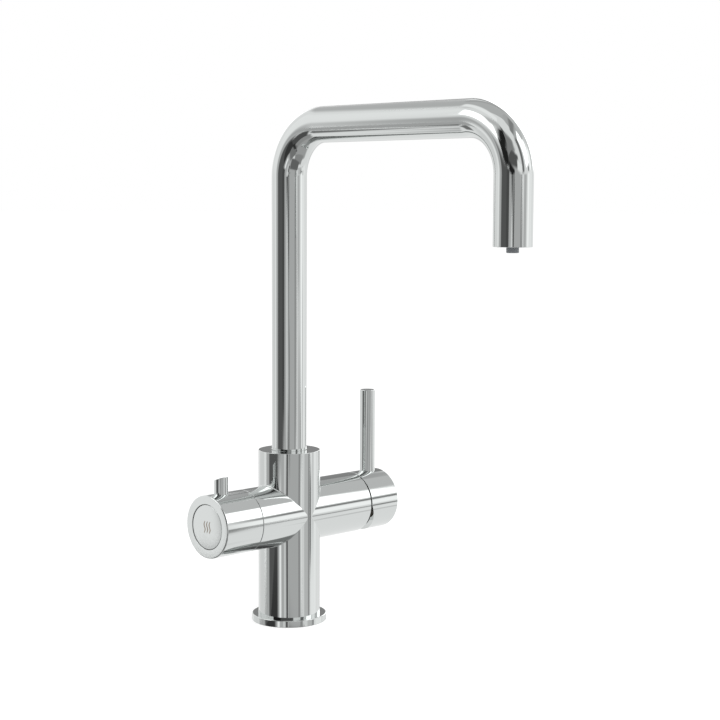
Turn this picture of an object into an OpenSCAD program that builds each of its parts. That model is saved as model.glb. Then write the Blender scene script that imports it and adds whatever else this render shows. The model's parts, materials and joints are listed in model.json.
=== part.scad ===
// Boiling water tap: a deck-mounted column with two side arms and a square-cornered swivel spout.
// Millimetres. The origin is the centre of the base's underside, +Z is up, the spout points to -Y,
// the mixer lever is on the +X arm and the boiling water knob on the -X arm.

/* [Base] */
// Thickness of the base flange
flange_t = 5; // [3:0.5:8]
// How far the flange stands out past the body all round
flange_lip = 4.7; // [2:0.1:8]
// Diameter of the body's foot inside the flange
foot_d = 34.6; // [33:0.2:35]
// Width of the base seal
gasket_w = 4; // [2:0.5:5]
// Thickness of the base seal
gasket_t = 2; // [1:0.5:3]

/* [Body] */
// Diameter of the upright body
body_d = 44.6; // [40:0.2:60]
// Height of the arms' axis above the worktop
arm_z = 78.5; // [65:0.5:110]
// From the arms' axis up to the flat top of the body
body_rise = 46.5; // [40:0.5:70]
// From the upright's axis to the end of the boiling arm
boiling_arm_l = 44; // [40:0.5:60]
// Wall of the arms outside the cartridge nut's thread
arm_wall = 2.95; // [2:0.05:5]

/* [Spout] */
// Diameter of the spout tube
tube_d = 25; // [22:0.5:32]
// Wall of the spout tube
tube_wall = 1.5; // [1:0.1:2]
// From the body's top up to the centre line of the level run
spout_rise = 231.8; // [120:1:320]
// From the upright's axis to the outlet's axis
spout_reach = 206.6; // [140:1:260]
// From the centre line of the level run down to the outlet's end
spout_drop = 80.8; // [60:1:140]
// Centre line radius of the two bends
bend_r = 36; // [30:1:50]
// How far the tube goes down into the body
tube_sink = 8; // [6:0.5:12]
// Length of the tail below the tube
tail_l = 25; // [24:1:32]
// Wall of the tail under its deepest groove
tail_wall = 1.85; // [1.5:0.05:3]
// Swivel of the spout to each side
swivel_deg = 75; // [30:5:80]

/* [Inner boiling tube and outlet] */
// Outer diameter of the boiling water tube inside the spout
inner_tube_d = 8; // [6:0.5:9]
// Wall of the boiling water tube
inner_tube_wall = 1; // [0.6:0.1:1.2]
// How far the boiling nozzle stands below the spout's end
nozzle_proud = 3.7; // [2:0.1:8]
// Depth of the outlet insert
insert_l = 14; // [12:0.5:20]

/* [Water connections] */
// Tapping diameter of the three hose sockets (M10 x 1)
port_d = 9; // [8:0.1:10]
// Depth of the hose sockets
port_l = 12; // [8:1:16]
// Tapping diameter of the fixing stud's socket (M8)
stud_d = 6.8; // [5:0.1:8]
// Depth of the fixing stud's socket
stud_l = 16; // [10:1:20]
// Offset of each socket from the body's axis, along X and along Y
port_offset = 8; // [7.5:0.1:8.5]
// Diameter of the drilled waterways
drill_d = 6; // [5:0.5:6]

/* [Mixer cartridge] */
// Diameter of the mixer cartridge
cartridge_d = 35; // [34:0.5:46]
// From the upright's axis to the cartridge's seat
seat_x = 28; // [26:0.5:36]
// Thickness of the cartridge's base
base_t = 6.8; // [6:0.1:10]
// Thickness of the fixed ceramic disc
fixed_disc_t = 4; // [3:0.5:6]
// Thickness of the moving ceramic disc
moving_disc_t = 3.5; // [3:0.5:5]
// Thickness of the carrier on the moving disc
carrier_t = 4.5; // [4:0.5:5]
// Height of the cartridge's threaded nut
nut_t = 8.2; // [6:0.1:10]
// Length of the stem from its pivot to its ball
stem_inner_l = 14; // [13.5:0.5:15]
// Radius of the stem's ball
ball_r = 3; // [2.5:0.1:3]
// Tilt of the lever from closed to full flow
tilt_deg = 20; // [15:1:20]

/* [Mixer handle] */
// Length of the handle's cap
cap_l = 27.4; // [26:0.1:40]
// Wall of the cap
cap_wall = 3; // [2:0.5:4]
// Thickness of the cap's end
cap_end_t = 4; // [3:0.5:6]
// Diameter of the lever rod
lever_d = 11.3; // [9.5:0.1:14]
// From the arms' axis up to the lever's top
lever_top = 83.7; // [60:0.1:120]
// From the cap's end back to the lever's axis
lever_inset = 10.9; // [10.5:0.1:13]

/* [Boiling knob] */
// Length of the boiling knob
knob_l = 32.8; // [32:0.1:40]
// Wall of the knob round its inner chamber
knob_wall = 2.5; // [2:0.5:4]
// Diameter of the safety button in the knob's face
button_d = 31.2; // [30:0.1:32]
// Thickness of the safety button
button_t = 3; // [2.5:0.5:4]
// Travel of the safety button
button_travel = 2.5; // [1.5:0.1:2.5]
// Diameter of the knob's small grip pin
grip_d = 9.75; // [8:0.25:12]
// How far the grip pin's middle stands above the knob
grip_h = 10.4; // [8:0.2:20]
// Slope of the grip pin's top
grip_slope_deg = 20; // [0:1:30]
// From the knob's face back to the grip pin's axis
grip_inset = 12.9; // [12:0.1:14]
// Turn of the knob from closed to open
knob_turn_deg = 90; // [60:5:90]

/* [Hidden] */
$fn = 96;

// Clearances and small edges
past = 1;          // how far a cut runs past the face that it opens
slip = 0.3;        // open gap between pieces that move past each other
run_gap = 0.1;     // running fit round a shaft
seat_gap = 0.05;   // gap of a push fit or a thread
touch_gap = 0.02;  // gap between pieces that bear on each other
edge = 0.5;        // chamfer on the outer edges
thin_edge = 0.3;   // chamfer on the inner edges

// Body
body_r = body_d / 2;
flange_r = body_r + flange_lip;
foot_r = foot_d / 2;
gasket_mid_r = (foot_r + flange_r) / 2;
body_top = arm_z + body_rise;
cartridge_r = cartridge_d / 2;
nut_step = 1.7;    // how far the nut's thread stands out past the cartridge
nut_r = cartridge_r + nut_step;
arm_r = nut_r + seat_gap + arm_wall;
pocket_gap = 0.25; // round the cartridge in its arm

// Waterways
drill_r = drill_d / 2;
port_r = port_d / 2;
stud_r = stud_d / 2;
side_drill_r = drill_r - 0.4;   // the level drillings that meet the upright ones
drill_end = drill_r + 0.5;      // how far a drilling runs past the one that it meets
inner_r = inner_tube_d / 2;
inlet_up = 6;              // height of the cartridge's inlets over the arms' axis
mixed_down = 7.5;          // depth of the cartridge's outlet under the arms' axis
mixed_riser_x = 9.6;       // the riser from that outlet to the spout's bore
socket_z = arm_z - 6.5;    // bottom of the inner tube's socket
boiling_duct_down = 10.5;  // depth of the duct from the boiling valve under the arms' axis
boiling_duct_r = 2;
boiling_feed_y = 5.2;      // the drilling that feeds the boiling valve
left_offset_y = port_offset - 0.5;   // of the boiling socket, and of the stud's on the other side

// Spout
tube_r = tube_d / 2;
tube_bore_r = tube_r - tube_wall;
bore_r = tube_r + slip;
tail_top = body_top - tube_sink;
tail_foot = tail_top - tail_l;
bore_floor = tail_foot - 2;   // the bore is 2 mm deeper than the tail
tail_r = tube_r - seat_gap;
o_ring_r = 0.9;
o_ring_mid_r = bore_r - run_gap - o_ring_r;
o_groove_r = o_ring_mid_r - o_ring_r - touch_gap;
tail_bore_r = o_groove_r - tail_wall;
spigot_l = 22;             // the tail's spigot inside the tube
bush_t = 1.5;
bush_gap = 0.08;           // running fit of the bearing rings in the body
bush_r = bore_r - bush_gap;
bush_groove_r = bush_r - bush_t - touch_gap;
bush_l = 5;
low_bush_l = 4.2;
tail_land = 1;             // rim between each bearing ring and the tail's end
upper_bush_z = tail_top - tail_land - bush_l;
lower_bush_z = tail_foot + tail_land;
o_ring_pitch = 4;
o_ring_z = [upper_bush_z - 2.5, upper_bush_z - 2.5 - o_ring_pitch];
keeper_z = lower_bush_z + low_bush_l + 3.3;
keeper_half = 2.2;         // half the height of the groove for the grub screw's tip
keeper_tip_r = 1.8;
keeper_groove_r = tail_r - 1.95;
keeper_screw_r = 2.5;
top_run_z = body_top + spout_rise;
bend_z = top_run_z - bend_r;
outlet_z = top_run_z - spout_drop;

// Inner tube and outlet
inner_foot_z = socket_z + 1;
tube_seal_r = 0.7;
tube_seal_z = socket_z + 5.1;
tube_groove_half = tube_seal_r + 0.4;
tube_groove_r = inner_r + 0.2 + 2 * tube_seal_r;
insert_z = outlet_z + 1;
insert_r = tube_bore_r - seat_gap;
insert_wall = 1.75;
nozzle_sleeve_r = inner_r + 1.4;
diffuser_z = insert_z + insert_l / 2;
diffuser_t = 3;
nozzle_foot_z = outlet_z - nozzle_proud;
nozzle_top_z = insert_z + insert_l - 2;
nozzle_bore_r = inner_r - inner_tube_wall - 0.8;
barb_l = 8;
channel_r = insert_r - insert_wall;
insert_groove_z = insert_z + insert_l - 3.5;
insert_groove_w = 1.6;
insert_groove_r = insert_r - 1.1;

// Cartridge, outwards along +X
base_x = seat_x + 0.2;
port_seal_in_r = drill_r + 0.6;
port_seal_out_r = port_seal_in_r + 1.5;
port_seal_t = 2.1;
window_start_x = base_x + 3;   // where the round passages of the base turn into its windows
fixed_x = base_x + base_t;
moving_x = fixed_x + fixed_disc_t + touch_gap;
carrier_x = moving_x + moving_disc_t;
rotor_x = carrier_x + carrier_t + 0.28;
rotor_flange_t = 4.2;
housing_wall = 2.2;
cavity_r = cartridge_r - housing_wall;
cavity_end_x = rotor_x + rotor_flange_t + slip;
shoulder_x = cavity_end_x + housing_wall;
nut_x = shoulder_x + 0.1;
mixer_arm_end = nut_x + nut_t + slip;
neck_end_x = mixer_arm_end + 3.4;
neck_r = 13.6;
rotor_r = neck_r - 2.2;
ball_x = carrier_x + ball_r + 0.48;
pivot_x = ball_x + stem_inner_l;
window_r = 2.3;            // windows of the fixed disc
window_at = 4.2;
outlet_window_r = 3;
outlet_window_at = 4.5;
moving_disc_r = 9.8;
carrier_half = 7.5;        // half the width between the carrier's flats
stem_w = 8;
stem_h = 7;
stem_pin_r = 2;
stem_bar_x = pivot_x - 8;      // where the stem's thin stalk meets its bar

// Handle
cap_seam = 1;
cap_x = mixer_arm_end + cap_seam;
cap_end_x = cap_x + cap_l;
cap_bore_r = arm_r - cap_wall;
lever_x = cap_end_x - lever_inset;
lever_r = lever_d / 2;
hub_r = 7.5;
hub_x = pivot_x + 10.5;
stem_end_x = cap_end_x - cap_end_t - 3;
pillar_r = 6.5;
lever_stub_r = 4;
grub_r = 2.5;
grub_z = arm_z + stem_h / 2 + run_gap;
grub_l = 5.4;
lever_stub_z = grub_z + grub_l + 1;

// Boiling side, outwards along -X
valve_thread_r = 10;
valve_seat = 20;
valve_bore_r = 8;
valve_ring_r = 13;         // annular channel round the valve's windows
valve_ring = [27, 34];
window_u = 30.5;
window_hole_r = 2.6;
seal_t = 2.2;
valve_disc_t = 3;
valve_start = valve_seat + run_gap;
fixed_u = valve_start + seal_t;
moving_u = fixed_u + valve_disc_t + touch_gap;
foot_u = moving_u + valve_disc_t;
foot_plate_u = foot_u + 3;
foot_end_u = foot_plate_u + 3;
dog_u = foot_u - 1.2;            // bottom of the moving disc's two notches, which take the spindle's dogs
dog_w = 3;
dog_h = 4;
dog_at = 6.3;
disc_window_r = 2;
disc_window_at = 4;
collar_t = 5;
collar_end = boiling_arm_l + collar_t;
hex_t = 4;
hex_end = collar_end + hex_t;
hex_corner_r = 11.5;
guide_r = 6.5;
guide_end = hex_end + 3;
shaft_r = 4.5;
spindle_ring_u = [40, 45];
spindle_ring_r = 0.55;
clip_t = 0.8;
clip_u = guide_end + run_gap;
clip_groove_r = shaft_r - 0.6;
knob_start = boiling_arm_l + slip;
knob_face = knob_start + knob_l;
knob_r = arm_r;
knob_cavity_r = knob_r - knob_wall;
web_u = guide_end + clip_t + 0.2;
web_t = 3;
web_end = web_u + web_t;
boss_r = 7;
boss_end = web_end + 7;
spline_r = 3.9;
spline_flat = 6;           // across the flats of the spindle's end
spindle_end = boss_end - 2;
knob_screw_r = 1.65;
screw_head_r = 3.4;
screw_head_t = 2.4;
button_r = button_d / 2;
button_bore_r = button_r + slip;
button_edge_u = knob_face - thin_edge;
button_back_u = button_edge_u - button_t;
crown = 0.2;
post_r = 1.5;
post_at = 13.5;
post_tip = collar_end - 1.5;
short_post_tip = web_u - 1.6;
post_angles = [225, 345, 105];   // the first is the long post that runs in the collar's slot
post_clip_r = 2.6;
post_clip_t = 0.8;
spring_r = 8.5;
spring_wire_r = 0.5;
spring_turns = 5;
spring_steps = 16;
spring_sides = 8;
grip_u = knob_face - grip_inset;
grip_r = grip_d / 2;
grip_stub_r = 2.5;
grip_stub_l = 5;

chrome = "#c8cbd0";
brass = "#b99a4e";
steel = "#a9adb3";
rubber = "#26272a";
white_plastic = "#e6e4de";
grey_plastic = "#8d9196";
black_plastic = "#2b2c2e";
ceramic = "#f1eee6";

// A cylinder along X between two stations, off the arms' axis by y and up
module rod_x(x0, x1, r, y = 0, up = 0) {
    translate([min(x0, x1), y, arm_z + up])
        rotate([0, 90, 0])
            cylinder(r = r, h = abs(x1 - x0));
}

// A ring along X, open from end to end
module ring_x(x0, x1, r_out, r_in, y = 0, up = 0) {
    difference() {
        rod_x(x0, x1, r_out, y, up);
        rod_x(min(x0, x1) - past, max(x0, x1) + past, r_in, y, up);
    }
}

// A shape turned about the arms' axis from points [radius, x]
module turned_x(points) {
    translate([0, 0, arm_z])
        rotate([0, 90, 0])
            rotate_extrude()
                polygon(points);
}

// The boiling side is drawn outwards along +X and mirrored
module boiling_side() {
    mirror([1, 0, 0])
        children();
}

// A cylinder along Z between two heights
module rod_z(z0, z1, r, x = 0, y = 0) {
    translate([x, y, z0])
        cylinder(r = r, h = z1 - z0);
}

module ring_z(z0, z1, r_out, r_in) {
    difference() {
        rod_z(z0, z1, r_out);
        rod_z(z0 - past, z1 + past, r_in);
    }
}

// A round cord bent into a ring about Z
module o_ring_z(z, mid_r, cord_r) {
    translate([0, 0, z])
        rotate_extrude()
            translate([mid_r, 0])
                circle(r = cord_r);
}

// A round rod of radius r along the spout's centre line, from low_z up, over and down to end_z
module spout_route(r, low_z, end_z) {
    rod_z(low_z, bend_z, r);
    translate([0, -bend_r, bend_z])
        rotate([90, 0, 90])
            rotate_extrude(angle = 90)
                translate([bend_r, 0])
                    circle(r = r);
    translate([0, -bend_r, top_run_z])
        rotate([90, 0, 0])
            cylinder(r = r, h = spout_reach - 2 * bend_r);
    translate([0, bend_r - spout_reach, bend_z])
        rotate([90, 0, 90])
            rotate([0, 0, 90])
                rotate_extrude(angle = 90)
                    translate([bend_r, 0])
                        circle(r = r);
    rod_z(end_z, bend_z, r, 0, -spout_reach);
}

// ---- Base and body ----

module base_flange() {
    color(chrome)
        difference() {
            rotate_extrude()
                polygon([[foot_r + seat_gap, 0], [flange_r - thin_edge, 0], [flange_r, thin_edge],
                         [flange_r, flange_t - edge], [flange_r - edge, flange_t],
                         [foot_r + seat_gap, flange_t]]);
            ring_z(-past, gasket_t, gasket_mid_r + gasket_w / 2, gasket_mid_r - gasket_w / 2);
        }
}

module base_gasket() {
    color(rubber)
        ring_z(0, gasket_t - seat_gap, gasket_mid_r + gasket_w / 2 - run_gap,
               gasket_mid_r - gasket_w / 2 + run_gap);
}

module body_shell() {
    rotate_extrude()
        polygon([[0, 0], [foot_r, 0], [foot_r, flange_t], [body_r, flange_t],
                 [body_r, body_top - edge], [body_r - edge, body_top], [0, body_top]]);
    turned_x([[0, 0], [arm_r, 0], [arm_r, mixer_arm_end - thin_edge],
              [arm_r - thin_edge, mixer_arm_end], [0, mixer_arm_end]]);
    boiling_side()
        turned_x([[0, 0], [arm_r, 0], [arm_r, boiling_arm_l - thin_edge],
                  [arm_r - thin_edge, boiling_arm_l], [0, boiling_arm_l]]);
}

// Bore for the spout's tail and the socket of the inner tube under it
module spout_bores() {
    rod_z(bore_floor, body_top + past, bore_r);
    translate([0, 0, body_top - thin_edge])
        cylinder(r1 = bore_r, r2 = bore_r + thin_edge + past, h = thin_edge + past);
    rod_z(socket_z, bore_floor + past, inner_r + slip);
    ring_z(tube_seal_z - tube_groove_half, tube_seal_z + tube_groove_half, tube_groove_r, inner_r);
    translate([0, 0, keeper_z])
        rotate([-90, 0, 0])
            cylinder(r = keeper_screw_r + seat_gap, h = body_r + past);
}

// Cold and hot ways up to the cartridge's seat, and the mixed way back to the spout
module mixer_ways() {
    for (side = [-1, 1]) {
        rod_z(0, arm_z + inlet_up + drill_r, drill_r, port_offset, side * port_offset);
        rod_z(-past, port_l, port_r, port_offset, side * port_offset);
        rod_x(port_offset, seat_x + past, side_drill_r, side * port_offset, inlet_up);
    }
    rod_x(mixed_riser_x, seat_x + past, side_drill_r, 0, -mixed_down);
    rod_z(arm_z - mixed_down - drill_end, bore_floor + past, drill_r, mixed_riser_x);
    rod_x(seat_x, shoulder_x + past, cartridge_r + pocket_gap);
    rod_x(shoulder_x, mixer_arm_end + past, nut_r + seat_gap);
}

// Feed and duct of the boiling valve
module boiling_ways() {
    chamber_l = 2;
    rod_z(0, arm_z + drill_end, drill_r, -port_offset, left_offset_y);
    rod_z(-past, port_l, port_r, -port_offset, left_offset_y);
    rod_x(-port_offset, -valve_seat, side_drill_r, boiling_feed_y);
    rod_x(-valve_seat + chamber_l, -valve_seat - past, valve_bore_r);
    rod_x(-valve_seat, -boiling_arm_l - past, valve_thread_r);
    rod_x(-valve_ring[0], -valve_ring[1], valve_ring_r);
    rod_x(0, -window_u, boiling_duct_r, 0, -boiling_duct_down);
    rod_z(arm_z - boiling_duct_down - drill_end, socket_z + past, drill_r);
}

module body_casting() {
    color(chrome)
        difference() {
            body_shell();
            spout_bores();
            mixer_ways();
            boiling_ways();
            rod_z(-past, stud_l, stud_r, -port_offset, -left_offset_y);
        }
}

// ---- Spout ----

module spout_tube() {
    color(chrome)
        difference() {
            spout_route(tube_r, tail_top, outlet_z);
            spout_route(tube_bore_r, tail_top - past, outlet_z - past);
        }
}

module spout_tail() {
    keeper_arc = swivel_deg + asin((keeper_tip_r + slip) / keeper_groove_r);
    color(brass)
        difference() {
            union() {
                rod_z(tail_foot, tail_top, tail_r);
                rod_z(tail_top - past, tail_top + spigot_l, tube_bore_r - seat_gap);
            }
            rod_z(tail_foot - past, tail_top + spigot_l + past, tail_bore_r);
            ring_z(upper_bush_z - run_gap, upper_bush_z + bush_l + run_gap, tail_r + past,
                   bush_groove_r);
            ring_z(lower_bush_z - run_gap, lower_bush_z + low_bush_l + run_gap, tail_r + past,
                   bush_groove_r);
            for (z = o_ring_z)
                ring_z(z - o_ring_r - slip, z + o_ring_r + slip, tail_r + past, o_groove_r);
            translate([0, 0, keeper_z - keeper_half])
                rotate([0, 0, 90 - keeper_arc])
                    rotate_extrude(angle = 2 * keeper_arc)
                        translate([keeper_groove_r, 0])
                            square([tail_r - keeper_groove_r + past, 2 * keeper_half]);
        }
}

// A split bearing ring in a groove of the tail
module swivel_bush(z, h) {
    split = 1;
    difference() {
        ring_z(z, z + h, bush_r, bush_r - bush_t);
        translate([0, -split / 2, z - past])
            cube([bush_r + past, split, h + 2 * past]);
    }
}

module upper_swivel_bush() {
    color(black_plastic)
        swivel_bush(upper_bush_z, bush_l);
}

module lower_swivel_bush() {
    color(black_plastic)
        swivel_bush(lower_bush_z, low_bush_l);
}

module spout_o_rings() {
    color(rubber)
        for (z = o_ring_z)
            o_ring_z(z, o_ring_mid_r, o_ring_r);
}

// The screw at the back whose tip runs in the tail's groove and keeps the spout in
module spout_grub_screw() {
    tip_y = keeper_groove_r + slip;
    thread_y = bore_r + slip;
    thread_chamfer = 0.5;
    sunk = 1.5;
    head_y = body_r - sunk;
    socket_r = 1.5;
    socket_l = 2.5;
    color(steel)
        difference() {
            translate([0, 0, keeper_z])
                rotate([-90, 0, 0])
                    rotate_extrude()
                        polygon([[0, tip_y], [keeper_tip_r, tip_y], [keeper_tip_r, thread_y],
                                 [keeper_screw_r, thread_y + thread_chamfer],
                                 [keeper_screw_r, head_y], [0, head_y]]);
            translate([0, head_y - socket_l, keeper_z])
                rotate([-90, 0, 0])
                    cylinder(r = socket_r, h = socket_l + past, $fn = 6);
        }
}

module boiling_tube() {
    color(white_plastic)
        difference() {
            spout_route(inner_r, inner_foot_z, nozzle_top_z);
            spout_route(inner_r - inner_tube_wall, inner_foot_z - past, nozzle_top_z - past);
        }
}

module boiling_tube_seal() {
    color(rubber)
        o_ring_z(tube_seal_z, tube_groove_r - seat_gap - tube_seal_r, tube_seal_r);
}

// ---- Outlet ----

module outlet_insert() {
    holes = 12;
    hole_r = 0.9;
    color(grey_plastic)
        translate([0, -spout_reach, 0])
            difference() {
                rod_z(insert_z, insert_z + insert_l, insert_r);
                rod_z(insert_z - past, insert_z + insert_l + past, inner_r + seat_gap);
                for (z = [[insert_z - past, diffuser_z],
                          [diffuser_z + diffuser_t, insert_z + insert_l + past]])
                    ring_z(z[0], z[1], channel_r, nozzle_sleeve_r);
                for (i = [0 : holes - 1])
                    rotate([0, 0, i * 360 / holes])
                        rod_z(diffuser_z - past, diffuser_z + diffuser_t + past, hole_r,
                              (channel_r + nozzle_sleeve_r) / 2);
                ring_z(insert_groove_z, insert_groove_z + insert_groove_w, insert_r + past,
                       insert_groove_r);
            }
}

module outlet_o_ring() {
    cord_r = 0.5;
    color(rubber)
        translate([0, -spout_reach, 0])
            o_ring_z(insert_groove_z + insert_groove_w / 2, insert_groove_r + touch_gap + cord_r,
                     cord_r);
}

// Perforated ring that shapes the mixed water's jets
module aerator_screen() {
    screen_z = insert_z + 0.6;
    screen_t = 0.8;
    screen_out_r = channel_r - seat_gap;
    screen_in_r = nozzle_sleeve_r + seat_gap;
    jet_r = 0.4;
    jet_rings = [[0.3, 10], [0.72, 16]];   // how far out across the ring, and how many jets
    color(steel)
        translate([0, -spout_reach, 0])
            difference() {
                ring_z(screen_z, screen_z + screen_t, screen_out_r, screen_in_r);
                for (ring = jet_rings, i = [0 : ring[1] - 1])
                    rotate([0, 0, i * 360 / ring[1]])
                        rod_z(screen_z - past, screen_z + screen_t + past, jet_r,
                              screen_in_r + ring[0] * (screen_out_r - screen_in_r));
            }
}

module outlet_nozzle() {
    barb_r = inner_r - inner_tube_wall - seat_gap;
    color(grey_plastic)
        translate([0, -spout_reach, 0])
            difference() {
                rotate_extrude()
                    polygon([[0, nozzle_foot_z], [inner_r - thin_edge, nozzle_foot_z],
                             [inner_r, nozzle_foot_z + thin_edge], [inner_r, nozzle_top_z],
                             [barb_r, nozzle_top_z], [barb_r, nozzle_top_z + barb_l],
                             [0, nozzle_top_z + barb_l]]);
                rod_z(nozzle_foot_z - past, nozzle_top_z + barb_l + past, nozzle_bore_r);
            }
}

// ---- Mixer cartridge ----

// The cartridge's two inlets and its outlet, at the seat
port_places = [[-port_offset, inlet_up], [port_offset, inlet_up], [0, -mixed_down]];

module port_seals() {
    color(rubber)
        for (at = port_places)
            ring_x(seat_x + seat_gap, seat_x + port_seal_t, port_seal_out_r, port_seal_in_r,
                   at[0], at[1]);
}

module cartridge_base() {
    color(grey_plastic)
        difference() {
            rod_x(base_x, fixed_x, cartridge_r);
            for (at = port_places) {
                rod_x(base_x - past, seat_x + port_seal_t + run_gap, port_seal_out_r + run_gap,
                      at[0], at[1]);
                rod_x(base_x, window_start_x + past, drill_r, at[0], at[1]);
            }
            for (side = [-1, 1])
                rod_x(window_start_x, fixed_x + past, window_r, side * window_at, window_at);
            rod_x(window_start_x, fixed_x + past, outlet_window_r, 0, -outlet_window_at);
        }
}

module cartridge_housing() {
    color(grey_plastic)
        difference() {
            union() {
                rod_x(fixed_x, shoulder_x, cartridge_r);
                rod_x(shoulder_x - past, neck_end_x, neck_r);
            }
            rod_x(fixed_x - past, cavity_end_x, cavity_r);
            rod_x(cavity_end_x - past, neck_end_x + past, rotor_r + run_gap);
        }
}

module cartridge_nut() {
    neck_gap = 0.15;
    notch_w = 4;
    notch_l = 2;
    notch_from_r = neck_r + 2;
    color(brass)
        difference() {
            ring_x(nut_x, nut_x + nut_t, nut_r, neck_r + neck_gap);
            for (a = [0 : 90 : 270])
                translate([nut_x + nut_t - notch_l, 0, arm_z])
                    rotate([a, 0, 0])
                        translate([0, notch_from_r, -notch_w / 2])
                            cube([notch_l + past, nut_r, notch_w]);
        }
}

module mixer_fixed_disc() {
    rim = 4;
    color(ceramic)
        difference() {
            rod_x(fixed_x, fixed_x + fixed_disc_t, moving_disc_r + rim);
            for (side = [-1, 1])
                rod_x(fixed_x - past, moving_x + past, window_r, side * window_at, window_at);
            rod_x(fixed_x - past, moving_x + past, outlet_window_r, 0, -outlet_window_at);
        }
}

// Its blind pocket joins the inlets to the outlet as the disc slides up
module mixer_moving_disc() {
    pocket_r = 4;
    pocket_depth = 2;
    color(ceramic)
        difference() {
            rod_x(moving_x, carrier_x, moving_disc_r);
            rod_x(moving_x - past, moving_x + pocket_depth, pocket_r, 0, -outlet_window_at);
        }
}

module disc_carrier() {
    ball_gap = 0.15;
    color(white_plastic)
        difference() {
            intersection() {
                rod_x(carrier_x, carrier_x + carrier_t, moving_disc_r);
                translate([carrier_x - past, -carrier_half, arm_z - moving_disc_r - past])
                    cube([carrier_t + 2 * past, 2 * carrier_half, 2 * (moving_disc_r + past)]);
            }
            rod_x(carrier_x - past, carrier_x + carrier_t + past, ball_r + ball_gap);
        }
}

// The rotor turns in the housing's neck. Its slot lets the stem tilt, and its rails turn the carrier
module cartridge_rotor() {
    slot_half = stem_w / 2 + slip;
    bar_room = stem_h / 2 + slip;        // from the arms' axis to the slot's flat sides
    swing = tan(tilt_deg);
    end_x = neck_end_x + past;
    flare = 1;
    inner_top = bar_room + slip + (pivot_x - cavity_end_x) * swing + flare;
    flange_gap = 0.5;
    rail_x = carrier_x + 0.7;
    rail_w = 1.8;
    rail_h = 14;
    color(white_plastic)
        difference() {
            union() {
                rod_x(rotor_x, rotor_x + rotor_flange_t, cavity_r - flange_gap);
                rod_x(rotor_x + past, neck_end_x, rotor_r);
                for (side = [-1, 1])
                    translate([rail_x, side * (carrier_half + slip + rail_w / 2) - rail_w / 2,
                               arm_z - rail_h / 2])
                        cube([rotor_x - rail_x + past, rail_w, rail_h]);
            }
            translate([0, slot_half, arm_z])
                rotate([90, 0, 0])
                    linear_extrude(2 * slot_half)
                        polygon([[rotor_x - past, -bar_room], [pivot_x, -bar_room - slip],
                                 [end_x, -bar_room - slip - (end_x - pivot_x) * swing],
                                 [end_x, bar_room], [pivot_x, bar_room + slip],
                                 [cavity_end_x, inner_top], [rotor_x - past, inner_top + flare]]);
            translate([pivot_x, rotor_r + past, arm_z])
                rotate([90, 0, 0])
                    cylinder(r = stem_pin_r + touch_gap, h = 2 * (rotor_r + past));
        }
}

module stem_pin() {
    sunk = 0.2;
    pin_half = rotor_r - sunk;
    color(steel)
        translate([pivot_x, pin_half, arm_z])
            rotate([90, 0, 0])
                cylinder(r = stem_pin_r, h = 2 * pin_half);
}

// The stem tilts on its pin: the handle sits on its outer bar, its ball moves the disc carrier
module mixer_stem() {
    stalk_r = 2.4;
    tip_flat = 0.1;
    pin_gap = 0.06;
    color(steel)
        difference() {
            union() {
                intersection() {
                    translate([ball_x, 0, arm_z])
                        rotate([0, 90, 0])
                            sphere(r = ball_r);
                    rod_x(ball_x - ball_r + tip_flat, ball_x + ball_r, ball_r + past);
                }
                rod_x(ball_x, stem_bar_x + past, stalk_r);
                translate([stem_bar_x, -stem_w / 2, arm_z - stem_h / 2])
                    cube([stem_end_x - stem_bar_x, stem_w, stem_h]);
            }
            translate([pivot_x, stem_w, arm_z])
                rotate([90, 0, 0])
                    cylinder(r = stem_pin_r + pin_gap, h = 2 * stem_w);
        }
}

// ---- Mixer handle ----

// The cap's lower rim is cut back so that it comes up flush with the arm at full tilt
module mixer_cap() {
    stem_play = 0.2;
    color(chrome)
        difference() {
            union() {
                difference() {
                    turned_x([[0, cap_x], [arm_r - thin_edge, cap_x], [arm_r, cap_x + thin_edge],
                              [arm_r, cap_end_x - edge], [arm_r - edge, cap_end_x],
                              [0, cap_end_x]]);
                    rod_x(cap_x - past, cap_end_x - cap_end_t, cap_bore_r);
                }
                rod_x(hub_x, cap_end_x - cap_end_t + past, hub_r);
                rod_z(arm_z, arm_z + cap_bore_r + past, pillar_r, lever_x);
            }
            translate([0, arm_r + past, arm_z])
                rotate([90, 0, 0])
                    linear_extrude(2 * (arm_r + past))
                        polygon([[cap_x - past, 0], [cap_x, 0],
                                 [cap_x + (arm_r + past) * tan(tilt_deg), -arm_r - past],
                                 [cap_x - past, -arm_r - past]]);
            translate([hub_x - past, -stem_w / 2 - seat_gap, arm_z - stem_h / 2 - seat_gap])
                cube([stem_end_x - hub_x + past + stem_play, stem_w + 2 * seat_gap,
                      stem_h + 2 * seat_gap]);
            rod_z(arm_z, arm_z + arm_r, grub_r, lever_x);
            rod_z(lever_stub_z - stem_play, arm_z + arm_r + past, lever_stub_r + seat_gap,
                  lever_x);
        }
}

// The rod screws into the cap over the grub screw, and its foot fits the cap's round
module mixer_lever() {
    color(chrome)
        union() {
            difference() {
                translate([lever_x, 0, arm_z])
                    rotate_extrude()
                        polygon([[0, 0], [lever_r, 0], [lever_r, lever_top - edge],
                                 [lever_r - edge, lever_top], [0, lever_top]]);
                rod_x(lever_x - lever_r - past, lever_x + lever_r + past, arm_r + touch_gap);
            }
            rod_z(lever_stub_z, arm_z + arm_r + past, lever_stub_r, lever_x);
        }
}

module lever_grub_screw() {
    socket_r = 1.4;
    socket_l = 2.2;
    color(steel)
        difference() {
            rod_z(grub_z, grub_z + grub_l, grub_r - seat_gap, lever_x);
            translate([lever_x, 0, grub_z + grub_l - socket_l])
                cylinder(r = socket_r, h = socket_l + past, $fn = 6);
        }
}

// ---- Boiling valve ----

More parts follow.
